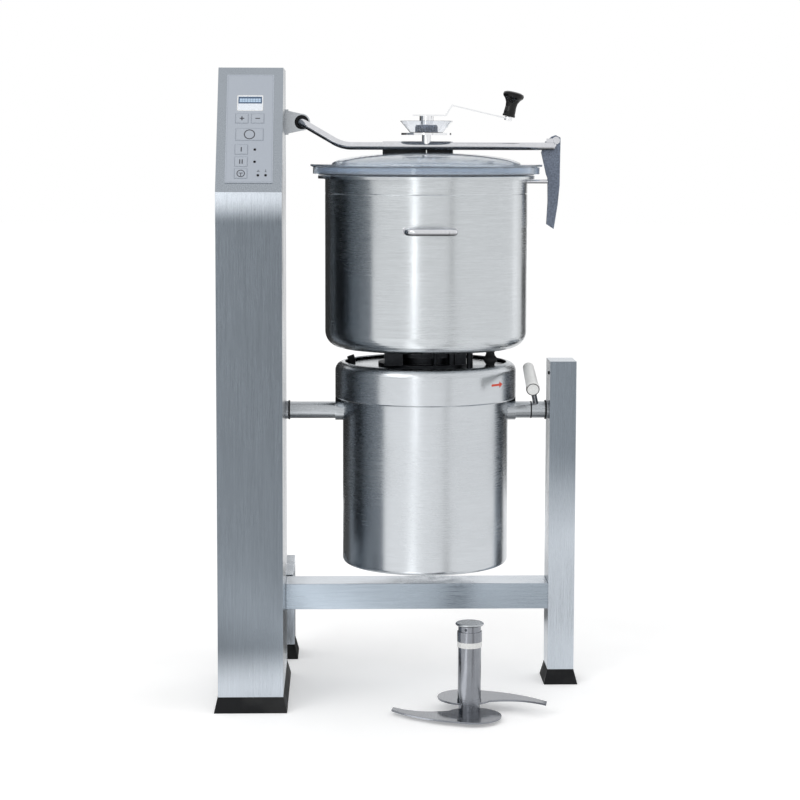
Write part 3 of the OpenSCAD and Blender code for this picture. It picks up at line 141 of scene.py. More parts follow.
class MixerStudio(bpy.types.PropertyGroup):
    """The camera and the light."""

    camera_place: FloatVectorProperty(
        name="Camera", description="Place of the camera", subtype="TRANSLATION", unit="LENGTH",
        size=3, default=(0.1977, -4.6345, 1.2196)
    )
    yaw: FloatProperty(
        name="Turn", description="Turn of the camera to the right", subtype="ANGLE", default=0.0282
    )
    pitch: FloatProperty(
        name="Fall", description="Fall of the camera's view", subtype="ANGLE", default=0.0966
    )
    roll: FloatProperty(name="Roll", description="Roll of the camera", subtype="ANGLE", default=0.0025)
    focal_share: FloatProperty(
        name="Focal length", description="Focal length over the width of the picture", default=2.6116
    )
    shift: FloatProperty(
        name="Shift", description="Shift of the picture, as a share of its width", default=-0.0585
    )
    ambient: FloatProperty(name="Ambient light", description="Level of the light all round", default=0.86)
    floor_size: length("Floor", "Side of the floor", 60000)
    floor_glow: FloatProperty(
        name="Floor's glow", description="How much the floor shines by itself", default=0.26
    )


class Mixer(bpy.types.PropertyGroup):
    """All that a user may change."""

    finish: PointerProperty(type=MixerFinish)
    edges: PointerProperty(type=MixerEdges)
    studio: PointerProperty(type=MixerStudio)


# Edges sharper than this are rounded, and shading is smooth below it
EASED_ANGLE = math.radians(26)

# A domed stud is smooth below this
DOME_ANGLE = math.radians(50)

# Faces that differ by less than this are one flat face
FLAT_ANGLE = math.radians(0.6)

# Points closer than this are one point
MERGE = 1e-5

# Above 50, large faces count for more than small ones in the shading
LARGE_FACE_WEIGHT = 80

# Height of the fold under the column's slope, a little below the panel's plate
FOLD_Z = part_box("control_panel")[0].z - 0.018

# Sockets of the node that mixes colours, because their names repeat for each kind of data
MIX_FACTOR, MIX_FIRST, MIX_SECOND, MIX_RESULT = 0, 6, 7, 2


def props():
    """The settings of this scene's mixer."""
    return bpy.context.scene.mixer


# Shader helpers
def put(tree, kind, values=None, **settings):
    """Adds a node, sets it up, and links or fills its sockets by name or number."""
    node = tree.nodes.new(kind)
    for key, value in settings.items():
        setattr(node, key, value)
    for key, value in (values or {}).items():
        if isinstance(value, bpy.types.NodeSocket):
            tree.links.new(value, node.inputs[key])
        else:
            node.inputs[key].default_value = value
    return node


def combined(tree, operation, first, second):
    """Two values worked into one by the named operation."""
    return put(tree, "ShaderNodeMath", {0: first, 1: second}, operation=operation).outputs[0]


def group(name, inputs, outputs):
    """Starts a shader node group with named sockets, and gives its tree, its inputs and its outputs."""
    tree = bpy.data.node_groups.new(name, "ShaderNodeTree")
    for socket, kind, value in inputs:
        made = tree.interface.new_socket(socket, in_out="INPUT", socket_type=kind)
        if value is not None:
            made.default_value = value
    for socket, kind in outputs:
        tree.interface.new_socket(socket, in_out="OUTPUT", socket_type=kind)
    return tree, put(tree, "NodeGroupInput").outputs, put(tree, "NodeGroupOutput").inputs


def place(tree, name, values):
    """Places a node group in a material, and gives its outputs."""
    return put(tree, "ShaderNodeGroup", values, node_tree=bpy.data.node_groups[name]).outputs


def mixed(tree, factor, first, second):
    """The second colour over the first, as far as the factor says."""
    first, second = ((*c, 1) if isinstance(c, tuple) else c for c in (first, second))
    values = {MIX_FACTOR: factor, MIX_FIRST: first, MIX_SECOND: second}
    return put(tree, "ShaderNodeMix", values, data_type="RGBA").outputs[MIX_RESULT]


def spread(tree, value, low, high, to_low, to_high):
    """A value moved from one range to another, smoothly and clamped."""
    return put(
        tree, "ShaderNodeMapRange",
        {"Value": value, "From Min": low, "From Max": high, "To Min": to_low, "To Max": to_high},
        interpolation_type="SMOOTHSTEP",
    ).outputs["Result"]


def build_grain():
    """Long streaks of brushing: the vector is stretched along the strokes before it comes in."""
    tree, given, out = group(
        "Brushed grain",
        [("Vector", "NodeSocketVector", None)],
        [("Tone", "NodeSocketFloat"), ("Height", "NodeSocketFloat")],
    )
    broad, fine = (
        put(
            tree, "ShaderNodeTexNoise",
            {"Vector": given["Vector"], "Scale": scale, "Detail": detail, "Roughness": rough},
        ).outputs[0]
        for scale, detail, rough in ((1.0, 4.0, 0.65), (4.3, 2.0, 0.5))
    )
    both = combined(tree, "ADD", broad, fine)
    tree.links.new(spread(tree, both, 0.62, 1.38, 0.0, 1.0), out["Tone"])
    tree.links.new(fine, out["Height"])


def build_handling():
    """Soft clouds where hands and cloths have been."""
    tree, given, out = group(
        "Handling marks",
        [("Vector", "NodeSocketVector", None), ("Scale", "NodeSocketFloat", 6.0)],
        [("Cloud", "NodeSocketFloat")],
    )
    cloud = put(
        tree, "ShaderNodeTexNoise", {"Vector": given["Vector"], "Scale": given["Scale"], "Detail": 3.0}
    )
    tree.links.new(spread(tree, cloud.outputs[0], 0.3, 0.7, 0.0, 1.0), out["Cloud"])


def build_wear():
    """Worn edges: where the rounded normal leaves the face's own."""
    tree, given, out = group(
        "Edge wear",
        [("Radius", "NodeSocketFloat", 0.002), ("Breakup", "NodeSocketFloat", 0.5)],
        [("Mask", "NodeSocketFloat")],
    )
    rounded = put(tree, "ShaderNodeBevel", {"Radius": given["Radius"]}, samples=4)
    face = put(tree, "ShaderNodeNewGeometry")
    alike = put(
        tree, "ShaderNodeVectorMath", {0: rounded.outputs[0], 1: face.outputs["Normal"]},
        operation="DOT_PRODUCT",
    )
    edge = spread(tree, alike.outputs["Value"], 0.8, 0.99, 1.0, 0.0)
    tree.links.new(combined(tree, "MULTIPLY", edge, given["Breakup"]), out["Mask"])


def build_speckle():
    """Fine pits and grains, as on cast metal, rubber and moulded plastic."""
    tree, given, out = group(
        "Speckle",
        [("Vector", "NodeSocketVector", None), ("Scale", "NodeSocketFloat", 400.0)],
        [("Tone", "NodeSocketFloat"), ("Height", "NodeSocketFloat")],
    )
    grain = put(
        tree, "ShaderNodeTexNoise", {"Vector": given["Vector"], "Scale": given["Scale"], "Detail": 4.0}
    )
    pits = put(tree, "ShaderNodeTexVoronoi", {"Vector": given["Vector"], "Scale": given["Scale"]})
    tree.links.new(spread(tree, grain.outputs[0], 0.35, 0.65, 0.0, 1.0), out["Tone"])
    tree.links.new(combined(tree, "ADD", grain.outputs[0], pits.outputs["Distance"]), out["Height"])


def build_standing():
    """How lit a standing sheet is: near the pale floor, where it leans back, on its right side, and on its
    front just under the fold. Heights and ways to face are turned into shares of light."""
    tree, given, out = group(
        "Standing light",
        [
            ("Vector", "NodeSocketVector", None),
            ("Floor End", "NodeSocketFloat", 0.06),
            ("Start", "NodeSocketFloat", 0.16),
        ],
        [("Light", "NodeSocketFloat")],
    )
    height = put(tree, "ShaderNodeSeparateXYZ", {"Vector": given["Vector"]}).outputs["Z"]
    low = spread(tree, height, given["Floor End"], given["Start"], 0.9, 0.0)
    face = put(tree, "ShaderNodeNewGeometry")
    ways = put(tree, "ShaderNodeSeparateXYZ", {"Vector": face.outputs["Normal"]}).outputs
    flat = spread(tree, ways["Z"], 0.6, 0.9, 0.0, 0.9)
    slope = spread(tree, ways["Z"], 0.15, 0.45, 0.0, 0.42)
    side = spread(tree, ways["X"], 0.5, 0.9, 0.0, 0.2)
    facing_front = spread(tree, ways["Y"], -0.98, -0.9, 1.0, 0.0)
    near_fold = spread(tree, height, FOLD_Z - 0.07, FOLD_Z - 0.008, 0.0, 1.0)
    below_fold = spread(tree, height, FOLD_Z - 0.001, FOLD_Z + 0.001, 1.0, 0.0)
    front_band = combined(tree, "MULTIPLY", below_fold, combined(tree, "MULTIPLY", near_fold, facing_front))
    light = low
    for value in (flat, slope, side, front_band):
        light = combined(tree, "MAXIMUM", light, value)
    tree.links.new(light, out["Light"])


def build_underside():
    """1 on the underside of round pieces, 0 on their top."""
    tree, given, out = group(
        "Underside", [("Start", "NodeSocketFloat", 0.0)], [("Shade", "NodeSocketFloat")]
    )
    face = put(tree, "ShaderNodeNewGeometry")
    facing = put(tree, "ShaderNodeSeparateXYZ", {"Vector": face.outputs["Normal"]})
    tree.links.new(spread(tree, facing.outputs["Z"], -0.85, given["Start"], 1.0, 0.0), out["Shade"])


def started(name):
    """A new material, its tree, its shader and the object's own coordinates."""
    material = bpy.data.materials.new(name)
    material.use_nodes = True
    tree = material.node_tree
    return material, tree, tree.nodes["Principled BSDF"], put(tree, "ShaderNodeTexCoord").outputs["Object"]


def fill(shader, **values):
    """Sets plain values on the shader's own sockets."""
    for key, value in values.items():
        name = key.replace("_", " ").title().replace("Ior", "IOR")
        shader.inputs[name].default_value = (*value, 1) if isinstance(value, tuple) else value


def shades(tint, darker, lighter):
    """A colour a little darker and a little lighter."""
    return tuple(c * darker for c in tint), tuple(min(1, c * lighter) for c in tint)


def rubbed(tint, gain, lift):
    """A colour as it looks where an edge is rubbed pale."""
    return tuple(min(1, c * gain + lift) for c in tint)


def surface(tree, shader, base, rough, height, strength, depth):
    """Gives a shader its colour, its roughness and its fine relief."""
    tree.links.new(base, shader.inputs["Base Color"])
    tree.links.new(rough, shader.inputs["Roughness"])
    bump = put(tree, "ShaderNodeBump", {"Strength": strength, "Distance": depth, "Height": height})
    tree.links.new(bump.outputs[0], shader.inputs["Normal"])


def steel(name, tint, strokes, rough=(0.2, 0.34), contrast=0.14, standing=None, shaded=0.0):
    """Brushed steel. strokes says how often the streaks change along X, Y and Z, standing between which
    heights the floor's light ends, and shaded how dark an underside gets."""
    material, tree, shader, where = started(name)
    stretched = put(tree, "ShaderNodeMapping", {"Vector": where, "Scale": strokes})
    grain = place(tree, "Brushed grain", {"Vector": stretched.outputs[0]})
    marks = place(tree, "Handling marks", {"Vector": where, "Scale": 5.0})
    worn = place(tree, "Edge wear", {"Radius": 0.0015, "Breakup": grain["Tone"]})
    dark, light = shades(tint, 1 - contrast, 1 + contrast)
    base = mixed(tree, grain["Tone"], dark, light)
    if standing is not None:
        lit = tuple(props().finish.lit_steel)
        lit_dark, lit_light = shades(lit, 1 - contrast / 2, 1 + contrast / 2)
        lit_grain = mixed(tree, grain["Tone"], lit_dark, lit_light)
        end, start = standing
        light_here = place(tree, "Standing light", {"Vector": where, "Floor End": end, "Start": start})
        base = mixed(tree, light_here["Light"], base, lit_grain)
    if shaded:
        under = place(tree, "Underside", {"Start": 0.25})
        shade = spread(tree, under["Shade"], 0.0, 1.0, 0.0, shaded)
        base = mixed(tree, shade, base, tuple(c * 0.1 for c in tint))
    cloud = spread(tree, marks["Cloud"], 0.0, 1.0, 0.0, 0.1)
    clouded = mixed(tree, cloud, base, tuple(c * 0.8 for c in tint))
    edged = mixed(tree, worn["Mask"], clouded, rubbed(tint, gain=1.5, lift=0.06))
    matt = spread(tree, combined(tree, "MULTIPLY", marks["Cloud"], grain["Tone"]), 0.0, 0.7, *rough)
    surface(tree, shader, edged, matt, grain["Height"], strength=0.6, depth=0.00003)
    fill(shader, metallic=1.0)
    return material


def cast(name, tint, rough=(0.38, 0.55), scale=260.0):
    """Cast or painted metal with a fine orange-peel skin and edges rubbed bright."""
    material, tree, shader, where = started(name)
    skin = place(tree, "Speckle", {"Vector": where, "Scale": scale})
    marks = place(tree, "Handling marks", {"Vector": where, "Scale": 9.0})
    worn = place(tree, "Edge wear", {"Radius": 0.003, "Breakup": skin["Tone"]})
    base = mixed(tree, skin["Tone"], *shades(tint, darker=0.8, lighter=1.2))
    edged = mixed(tree, worn["Mask"], base, rubbed(tint, gain=1.9, lift=0.05))
    matt = spread(tree, marks["Cloud"], 0.0, 1.0, *rough)
    surface(tree, shader, edged, matt, skin["Height"], strength=0.5, depth=0.0002)
    fill(shader, metallic=0.9)
    return material


def moulded(name, tint, rough, scale=700.0, depth=0.00006, coat=0.0, contrast=0.12, worn_share=0.5,
        shine=0.5):
    """Rubber or plastic: a fine skin, dusty clouds and paler edges."""
    material, tree, shader, where = started(name)
    skin = place(tree, "Speckle", {"Vector": where, "Scale": scale})
    marks = place(tree, "Handling marks", {"Vector": where, "Scale": 14.0})
    worn = place(tree, "Edge wear", {"Radius": 0.002, "Breakup": worn_share})
    dark, light = shades(tint, 1 - contrast, 1 + contrast)
    base = mixed(tree, skin["Tone"], dark, light)
    dusty = mixed(tree, spread(tree, marks["Cloud"], 0.2, 1.0, 0.0, 0.03), base, (0.5, 0.5, 0.48))
    edged = mixed(tree, worn["Mask"], dusty, rubbed(tint, gain=1.6, lift=0.02))
    matt = spread(tree, marks["Cloud"], 0.0, 1.0, *rough)
    surface(tree, shader, edged, matt, skin["Height"], strength=0.4, depth=depth)
    fill(shader, specular_ior_level=shine)
    if coat:
        fill(shader, coat_weight=coat, coat_roughness=0.05)
    return material


def clear(name, tint, through=1.0):
    """Clear moulded plastic, a little blue, with faint flow lines and fingermarks."""
    material, tree, shader, where = started(name)
    marks = place(tree, "Handling marks", {"Vector": where, "Scale": 12.0})
    flow = place(tree, "Speckle", {"Vector": where, "Scale": 30.0})
    base = mixed(tree, flow["Tone"], tuple(c * 0.96 for c in tint), tint)
    matt = spread(tree, marks["Cloud"], 0.0, 1.0, 0.02, 0.09)
    surface(tree, shader, base, matt, flow["Height"], strength=0.12, depth=0.0004)
    fill(shader, transmission_weight=through, ior=1.45)
    return material


def printed(name, tint, rough=(0.35, 0.5)):
    """Ink, film or lacquer in one thin coat."""
    return moulded(name, tint, rough, scale=1500.0, depth=0.00001, contrast=0.05, worn_share=0.2)


def build_materials():
    """Every finish, by the name of its slot."""
    finish = props().finish
    tints = {key: tuple(getattr(finish, key)) for key in MixerFinish.__annotations__}
    upright, level, ringed, all_ways = (620, 620, 9), (9, 9, 620), (14, 14, 520), (60, 60, 60)
    return {
        # The column, post, beam, bowl and motor steels are shaded and lit copies of one brushed steel, partly
        # painted light and shade. Standing lays painted light on the column, post and beams.
        "column_steel": steel("Column steel", tints["column"], upright, standing=(0.05, 0.15)),
        "frame_steel": steel("Frame steel", tints["post"], upright, standing=(0.3, 0.56)),
        "beam_steel": steel("Beam steel", tints["beam"], level, contrast=0.1, standing=(0.0, 0.05)),
        "bowl_steel": steel("Bowl steel", tints["bowl"], ringed, rough=(0.19, 0.3), contrast=0.1),
        "motor_steel": steel("Motor steel", tints["motor"], ringed, rough=(0.21, 0.33), contrast=0.07),
        "rod_steel": steel(
            "Rod steel", tints["rod"], all_ways, rough=(0.1, 0.2), contrast=0.06, shaded=0.92
        ),
        "machined_steel": steel(
            "Machined steel", tints["machined"], (40, 40, 900), rough=(0.16, 0.3), shaded=0.6
        ),
        "blade_steel": steel(
            "Blade steel", tints["blade"], (300, 30, 30), rough=(0.13, 0.26), contrast=0.16
        ),
        "cast_grey": cast("Cast grey", tints["cast"]),
        "dark_metal": cast("Dark metal", linear(40, 42, 45), rough=(0.34, 0.5)),
        "cast_aluminium": cast("Cast aluminium", linear(158, 161, 165), rough=(0.35, 0.5)),
        "copper_iron": cast("Copper and iron", linear(150, 96, 62), rough=(0.3, 0.5), scale=500.0),
        "rubber_black": moulded("Black rubber", tints["rubber"], (0.5, 0.72), shine=0.12),
        "seal_grey": moulded("Grey seal", linear(88, 92, 98), (0.45, 0.62)),
        "plastic_black": moulded("Black plastic", linear(26, 27, 30), (0.32, 0.46), shine=0.15),
        "knob_black": moulded("Glossy black", linear(10, 10, 11), (0.06, 0.12), depth=0.00001, shine=0.22),
        "white_plastic": moulded("White plastic", linear(226, 227, 226), (0.32, 0.45)),
        "clear_plastic": clear("Clear plastic", tints["lid"], through=0.84),
        "cup_plastic": clear("Clear cup", linear(246, 248, 251)),
        # A lit copy of the rod steel: painted lighter, and without the rods' painted underside shade.
        "crank_steel": steel(
            "Crank steel", linear(236, 237, 239), all_ways, rough=(0.1, 0.2), contrast=0.03
        ),
        "panel_film": printed("Panel film", tints["film"]),
        "display_glass": moulded(
            "Display window", linear(226, 232, 240), (0.1, 0.2), depth=0.00001, coat=0.6
        ),
        "board_green": moulded("Circuit board", linear(32, 96, 60), (0.3, 0.45)),
        "switch_grey": moulded("Switch housing", linear(66, 70, 74), (0.36, 0.5)),
        "ink": printed("Ink", tints["ink"]),
        "faint_ink": printed("Faint ink", linear(138, 146, 158)),
        "arrow": printed("Arrow lacquer", tints["arrow"]),
        "lamp": moulded("Lamp lens", linear(14, 10, 12), (0.2, 0.3), depth=0.00001, shine=0.2),
        "cell": moulded("Display cells", linear(176, 199, 226), (0.12, 0.2), depth=0.00001, coat=0.5),
        "cell_frame": moulded("Display frame", linear(62, 84, 112), (0.2, 0.3), depth=0.00001),
    }


MATERIALS = {}

# Nodes that look different from the rest of their slot: the cup is clearer plastic, the beams take a lighter copy
# of steel, partly painted light, and the crank and lid hub take a lit copy of the rod steel, with painted light
# and no painted underside shade
SPECIAL = {
    "cross_beam": "beam_steel", "rear_beam": "beam_steel", "lid_cup": "cup_plastic", "crank": "crank_steel",
    "lid_hub": "crank_steel",
}


def finish_of(node):
    """The finish of a node: its slot's, or one of its own."""
    return MATERIALS[SPECIAL.get(node, SLOTS[node])]


def paint(obj, material):
    """Gives an object one material all over."""
    obj.data.materials.clear()
    obj.data.materials.append(material)


# Modelling helpers
def take(*objects):
    """Selects these objects alone."""
    bpy.ops.object.select_all(action="DESELECT")
    for obj in objects:
        obj.select_set(True)
    bpy.context.view_layer.objects.active = objects[0]


def settle(piece, name, body, material):
    """Names a finished piece, finishes it and lets it ride on its body."""
    piece.name = name
    piece.data.name = name
    paint(piece, material)
    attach(piece, body)
    return piece


def eased(node, radius, slim=1.0):
    """Stands a copy with rounded edges, and slimmer along Y if asked, in the place of a node."""
    piece = bpy.data.objects.new(node + "_shape", frame["nodes"][node].data.copy())
    bpy.context.scene.collection.objects.link(piece)
    take(piece)
    bpy.ops.mesh.customdata_custom_splitnormals_clear()
    bpy.ops.object.mode_set(mode="EDIT")
    bpy.ops.mesh.select_all(action="SELECT")
    bpy.ops.mesh.remove_doubles(threshold=MERGE)
    bpy.ops.mesh.dissolve_limited(angle_limit=FLAT_ANGLE)
    if slim != 1.0:
        bpy.ops.transform.resize(value=(1, slim, 1), center_override=middle(node))
    bpy.ops.object.mode_set(mode="OBJECT")
    bevel = piece.modifiers.new("Rounded edges", "BEVEL")
    bevel.limit_method = "ANGLE"
    bevel.angle_limit = EASED_ANGLE
    bevel.width = radius
    bevel.segments = props().edges.steps
    bpy.ops.object.modifier_apply(modifier=bevel.name)
    bpy.ops.object.shade_smooth_by_angle(angle=EASED_ANGLE)
    flat = piece.modifiers.new("Flat faces", "WEIGHTED_NORMAL")
    flat.keep_sharp = True
    flat.weight = LARGE_FACE_WEIGHT
    bpy.ops.object.modifier_apply(modifier=flat.name)
    settle(piece, node + "_shape", BODIES[node], finish_of(node))
    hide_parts(node)
    return piece


def ease_all(table):
    """Eases the nodes of each row by the row's radius."""
    for radius, nodes in table:
        for node in nodes:
            eased(node, radius)


def bar(x, y, width, height, depth, turn=0.0):
    """A flat bar with softened edges, lying on Z = 0."""
    bpy.ops.object.select_all(action="DESELECT")
    bpy.ops.mesh.primitive_cube_add(size=1, location=(x, y, depth / 2), rotation=(0, 0, turn))
    piece = bpy.context.object
    piece.scale = (width, height, depth)
    bpy.ops.object.transform_apply(location=True, rotation=True, scale=True)
    bpy.ops.object.mode_set(mode="EDIT")
    bpy.ops.mesh.bevel(offset=min(width, height, depth) / 4, segments=2, affect="EDGES")
    bpy.ops.object.mode_set(mode="OBJECT")
    return piece


def hoop(x, y, radius, line, depth):
    """A flat ring with a rounded section, lying on Z = 0."""
    bpy.ops.object.select_all(action="DESELECT")
    bpy.ops.mesh.primitive_torus_add(
        location=(x, y, depth / 2), major_radius=radius, minor_radius=line / 2,
        major_segments=64, minor_segments=10
    )
    piece = bpy.context.object
    bpy.ops.object.mode_set(mode="EDIT")
    bpy.ops.mesh.select_all(action="SELECT")
    bpy.ops.transform.resize(value=(1, 1, depth / line))
    bpy.ops.object.mode_set(mode="OBJECT")
    bpy.ops.object.transform_apply(location=True, rotation=True, scale=True)
    bpy.ops.object.shade_smooth_by_angle(angle=EASED_ANGLE)
    return piece


def dot(x, y, radius, depth):
    """A round stud with a domed top, standing on Z = 0."""
    bpy.ops.object.select_all(action="DESELECT")
    bpy.ops.mesh.primitive_cylinder_add(vertices=32, radius=radius, depth=depth, location=(x, y, depth / 2))
    piece = bpy.context.object
    bpy.ops.object.transform_apply(location=True, rotation=True, scale=True)
    bpy.ops.object.mode_set(mode="EDIT")
    bpy.ops.mesh.select_all(action="DESELECT")
    bpy.ops.object.mode_set(mode="OBJECT")
    almost_top, dome = depth * 0.99, min(depth * 0.7, radius * 0.6)
    for edge in piece.data.edges:
        edge.select = all(piece.data.vertices[v].co.z > almost_top for v in edge.vertices)
    bpy.ops.object.mode_set(mode="EDIT")
    bpy.ops.mesh.bevel(offset=dome, segments=4, affect="EDGES")
    bpy.ops.object.mode_set(mode="OBJECT")
    bpy.ops.object.shade_smooth_by_angle(angle=DOME_ANGLE)
    return piece


def joined(pieces):
    """Several meshes as one."""
    take(*pieces)
    if len(pieces) > 1:
        bpy.ops.object.join()
    return bpy.context.object


def stand(piece, origin, across, up):
    """Moves a piece drawn flat on XY to its place, and leaves the place in its mesh."""
    turn = Matrix((across, up, across.cross(up))).transposed().to_4x4()
    piece.matrix_world = Matrix.Translation(origin) @ turn
    take(piece)
    bpy.ops.object.transform_apply(location=True, rotation=True, scale=True)
    return piece


def middle(node):
    """The middle of a node's box at rest."""
    low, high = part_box(node)
    return (low + high) / 2


class Slope:
    """The panel plate's own frame, worked out from the node's box and the way the keys travel."""

    def __init__(self):
        self.out = -Vector(JOINTS["plus_press"]["axis"]).normalized()
        self.across = Vector((1, 0, 0))
        self.up = self.out.cross(self.across)
        low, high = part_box("control_panel")
        rise, run = self.up.z, self.up.y
        tall, deep = high.z - low.z, high.y - low.y
        spare = rise * rise - run * run
        self.long = (tall * rise - deep * run) / spare
        self.thick = (deep * rise - tall * run) / spare
        self.foot = Vector((0, high.y - self.long * run, low.z))

    def at(self, x, share, proud=0.0):
        """A point on the plate: X across, a share of the plate's length, and a height over its face."""
        return self.foot + self.across * x + self.up * (share * self.long) + self.out * (self.thick + proud)

    def lay(self, pieces, x, share, proud, name, body, finish, slot):
        """Joins pieces that are drawn flat, lays them on the plate's face and finishes them."""
        piece = stand(joined(pieces), self.at(x, share, proud), self.across, self.up)
        return settle(piece, name, body, MATERIALS[finish])


class MIXER_OT_finishes(bpy.types.Operator):
    """Build every finish and give each piece its own"""

    bl_idname = "mixer.finishes"
    bl_label = "Finishes"

    def execute(self, context):
        for build in (
            build_grain, build_handling, build_wear, build_speckle, build_standing, build_underside,
        ):
            build()
        MATERIALS.update(build_materials())
        for node, obj in frame["nodes"].items():
            paint(obj, finish_of(node))
        return {"FINISHED"}


class MIXER_OT_frame(bpy.types.Operator):
    """Round the edges of the column, the post, the beams and their feet, and add a stud to the post"""

    bl_idname = "mixer.frame"
    bl_label = "Column and frame"

    stud_drop: length("Stud's drop", "Distance of the stud below the post's top", 28)
    stud_inset: length("Stud's inset", "Distance of the stud behind the post's front", 24)
    stud_radius: length("Stud's radius", "Radius of the stud", 4)
    stud_height: length("Stud's height", "How far the stud stands out", 3)

    def execute(self, context):
        edges = props().edges
        ease_all([
            (edges.sheet, ("column_shell", "rear_cover", "frame_fasteners", "cable_gland")),
            (edges.tube, ("post", "cross_beam", "rear_beam", "rear_leg")),
            (edges.rubber, ("column_foot", "tube_feet")),
            (edges.machined, (
                "trunnion_bearings", "trunnion_rings", "arm_bracket", "pivot_bush", "contactors",
            )),
        ])
        low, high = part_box("post")
        origin = Vector((low.x, low.y + self.stud_inset, high.z - self.stud_drop))
        stud = dot(0, 0, self.stud_radius, self.stud_height)
        stand(stud, origin, Vector((0, -1, 0)), Vector((0, 0, 1)))
        settle(stud, "post_stud", "frame", MATERIALS["dark_metal"])
        return {"FINISHED"}


class MIXER_OT_panel(bpy.types.Operator):
    """Model the control panel: its plate, keys, printed marks, lamps and display"""

    bl_idname = "mixer.panel"
    bl_label = "Control panel"

    plus_share: row_share("Plus and minus", 0.588)
    stop_share: row_share("Stop", 0.44)
    one_share: row_share("First speed", 0.3015)
    two_share: row_share("Second speed", 0.19)
    pulse_share: row_share("Pulse", 0.082)
    display_share: row_share("Display", 0.733)
    lamp_share: row_share("Small lamps", 0.067)

    def marks(self, slope):
        """The marks on the keys, which travel with them."""
        line, ink, key_top = 2.4 * MM, 0.15 * MM, 0.8 * MM
        short, tall = 10 * MM, 11 * MM
        stroke_off, stop_radius, pulse_radius = 2.6 * MM, 11 * MM, 8 * MM
        for name, share, node, shapes in (
            ("plus_mark", self.plus_share, "plus_key", lambda: [
                bar(0, 0, short, line, ink),
                bar(0, 0, line, short, ink),
            ]),
            ("minus_mark", self.plus_share, "minus_key", lambda: [bar(0, 0, short, line, ink)]),
            ("stop_mark", self.stop_share, "stop_key", lambda: [hoop(0, 0, stop_radius, line, ink)]),
            ("one_mark", self.one_share, "speed_one_key", lambda: [bar(0, 0, line, tall, ink)]),
            ("two_mark", self.two_share, "speed_two_key", lambda: [
                bar(side * stroke_off, 0, line, tall, ink) for side in (-1, 1)
            ]),
            ("pulse_mark", self.pulse_share, "pulse_key", lambda: [
                hoop(0, 0, pulse_radius, line * 0.8, ink),
                bar(0, 1 * MM, 9 * MM, line * 0.7, ink),
                bar(0, -3 * MM, line * 0.7, 7 * MM, ink),
            ]),
        ):
            slope.lay(shapes(), middle(node).x, share, key_top, name, BODIES[node], "ink", SLOTS[node])

    def key_lines(self, slope):
        """Fine printed lines round the keys and round the plate."""
        line, ink = 0.5 * MM, 0.08 * MM
        plate_margin, key_margin = 5 * MM, 1 * MM
        key_tall, stop_tall = 25 * MM, 31 * MM
        shapes = []

        def outline(x, share, width, height):
            """The four lines of a frame round a place on the plate."""
            y = (share - 0.5) * slope.long
            shapes.extend(bar(x, y + side * height / 2, width, line, ink) for side in (-1, 1))
            shapes.extend(bar(x + side * width / 2, y, line, height, ink) for side in (-1, 1))

        low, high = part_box("control_panel")
        outline(0, 0.5, high.x - low.x - plate_margin, slope.long - plate_margin)
        for node, share in (
            ("plus_key", self.plus_share), ("minus_key", self.plus_share), ("stop_key", self.stop_share),
            ("speed_one_key", self.one_share), ("speed_two_key", self.two_share),
            ("pulse_key", self.pulse_share),
        ):
            low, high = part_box(node)
            tall = stop_tall if node == "stop_key" else key_tall
            outline(middle(node).x, share, high.x - low.x - key_margin, tall)
        slope.lay(shapes, 0, 0.5, 0, "panel_lines", "frame", "faint_ink", "panel_film")

    def lamps(self, slope):
        """Small dark lamps and the two little signs over the lowest pair."""
        speed_x, left_x, right_x = 12.0 * MM, 19.6 * MM, 36.0 * MM
        radius, height = 2.9 * MM, 0.9 * MM
        line, ink = 1 * MM, 0.15 * MM
        places = (
            (speed_x, self.one_share), (speed_x, self.two_share),
            (left_x, self.lamp_share), (right_x, self.lamp_share),
        )
        lenses = [dot(x, (share - 0.5) * slope.long, radius, height) for x, share in places]
        slope.lay(lenses, 0, 0.5, 0, "panel_lamps", "frame", "lamp", "panel_film")
        sign_rise = 11 * MM
        sign_y = (self.lamp_share - 0.5) * slope.long + sign_rise
        signs = [
            bar(left_x, sign_y, 6 * MM, line, ink, math.radians(40)),
            bar(left_x + 1 * MM, sign_y - 1.4 * MM, 6 * MM, line, ink),
            bar(right_x, sign_y + 0.6 * MM, line, 6 * MM, ink),
            bar(right_x, sign_y - 2.4 * MM, 4 * MM, line, ink),
        ]
        slope.lay(signs, 0, 0.5, 0, "panel_signs", "frame", "ink", "panel_film")

    def display(self, slope):
        """The window with its two rows of cells above a blank white field."""
        low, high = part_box("display")
        width, height = high.x - low.x, 39 * MM
        rim, rim_thick = 1.6 * MM, 0.7 * MM
        sunk = -0.4 * MM
        frame_wide, frame_tall, frame_thick, frame_rise = 51 * MM, 17 * MM, 0.2 * MM, 7.5 * MM
        cell_wide, cell_tall, cell_thick = 5.0 * MM, 4.2 * MM, 0.3 * MM
        across, upward, lowest, cells_across = 5.8 * MM, 4.8 * MM, 4.6 * MM, 8

        def lay(pieces, name, finish):
            """Lays pieces in the display's window."""
            slope.lay(pieces, 0, self.display_share, sunk, name, "frame", finish, "display_glass")

        edge = [bar(0, side * (height - rim) / 2, width, rim, rim_thick) for side in (-1, 1)]
        edge += [bar(side * (width - rim) / 2, 0, rim, height, rim_thick) for side in (-1, 1)]
        lay(edge, "display_rim", "white_plastic")
        lay([bar(0, frame_rise, frame_wide, frame_tall, frame_thick)], "display_frame", "cell_frame")
        first = -(cells_across - 1) / 2
        lay([
            bar((first + i) * across, lowest + row * upward, cell_wide, cell_tall, cell_thick)
            for i in range(cells_across) for row in (0, 1)
        ], "display_cells", "cell")

    def execute(self, context):
        edges = props().edges
        ease_all([
            (edges.key, (
                "control_panel", "plus_key", "minus_key", "stop_key", "speed_one_key", "speed_two_key",
                "pulse_key", "display",
            )),
        ])
        slope = Slope()
        self.marks(slope)
        self.key_lines(slope)
        self.lamps(slope)
        self.display(slope)
        return {"FINISHED"}


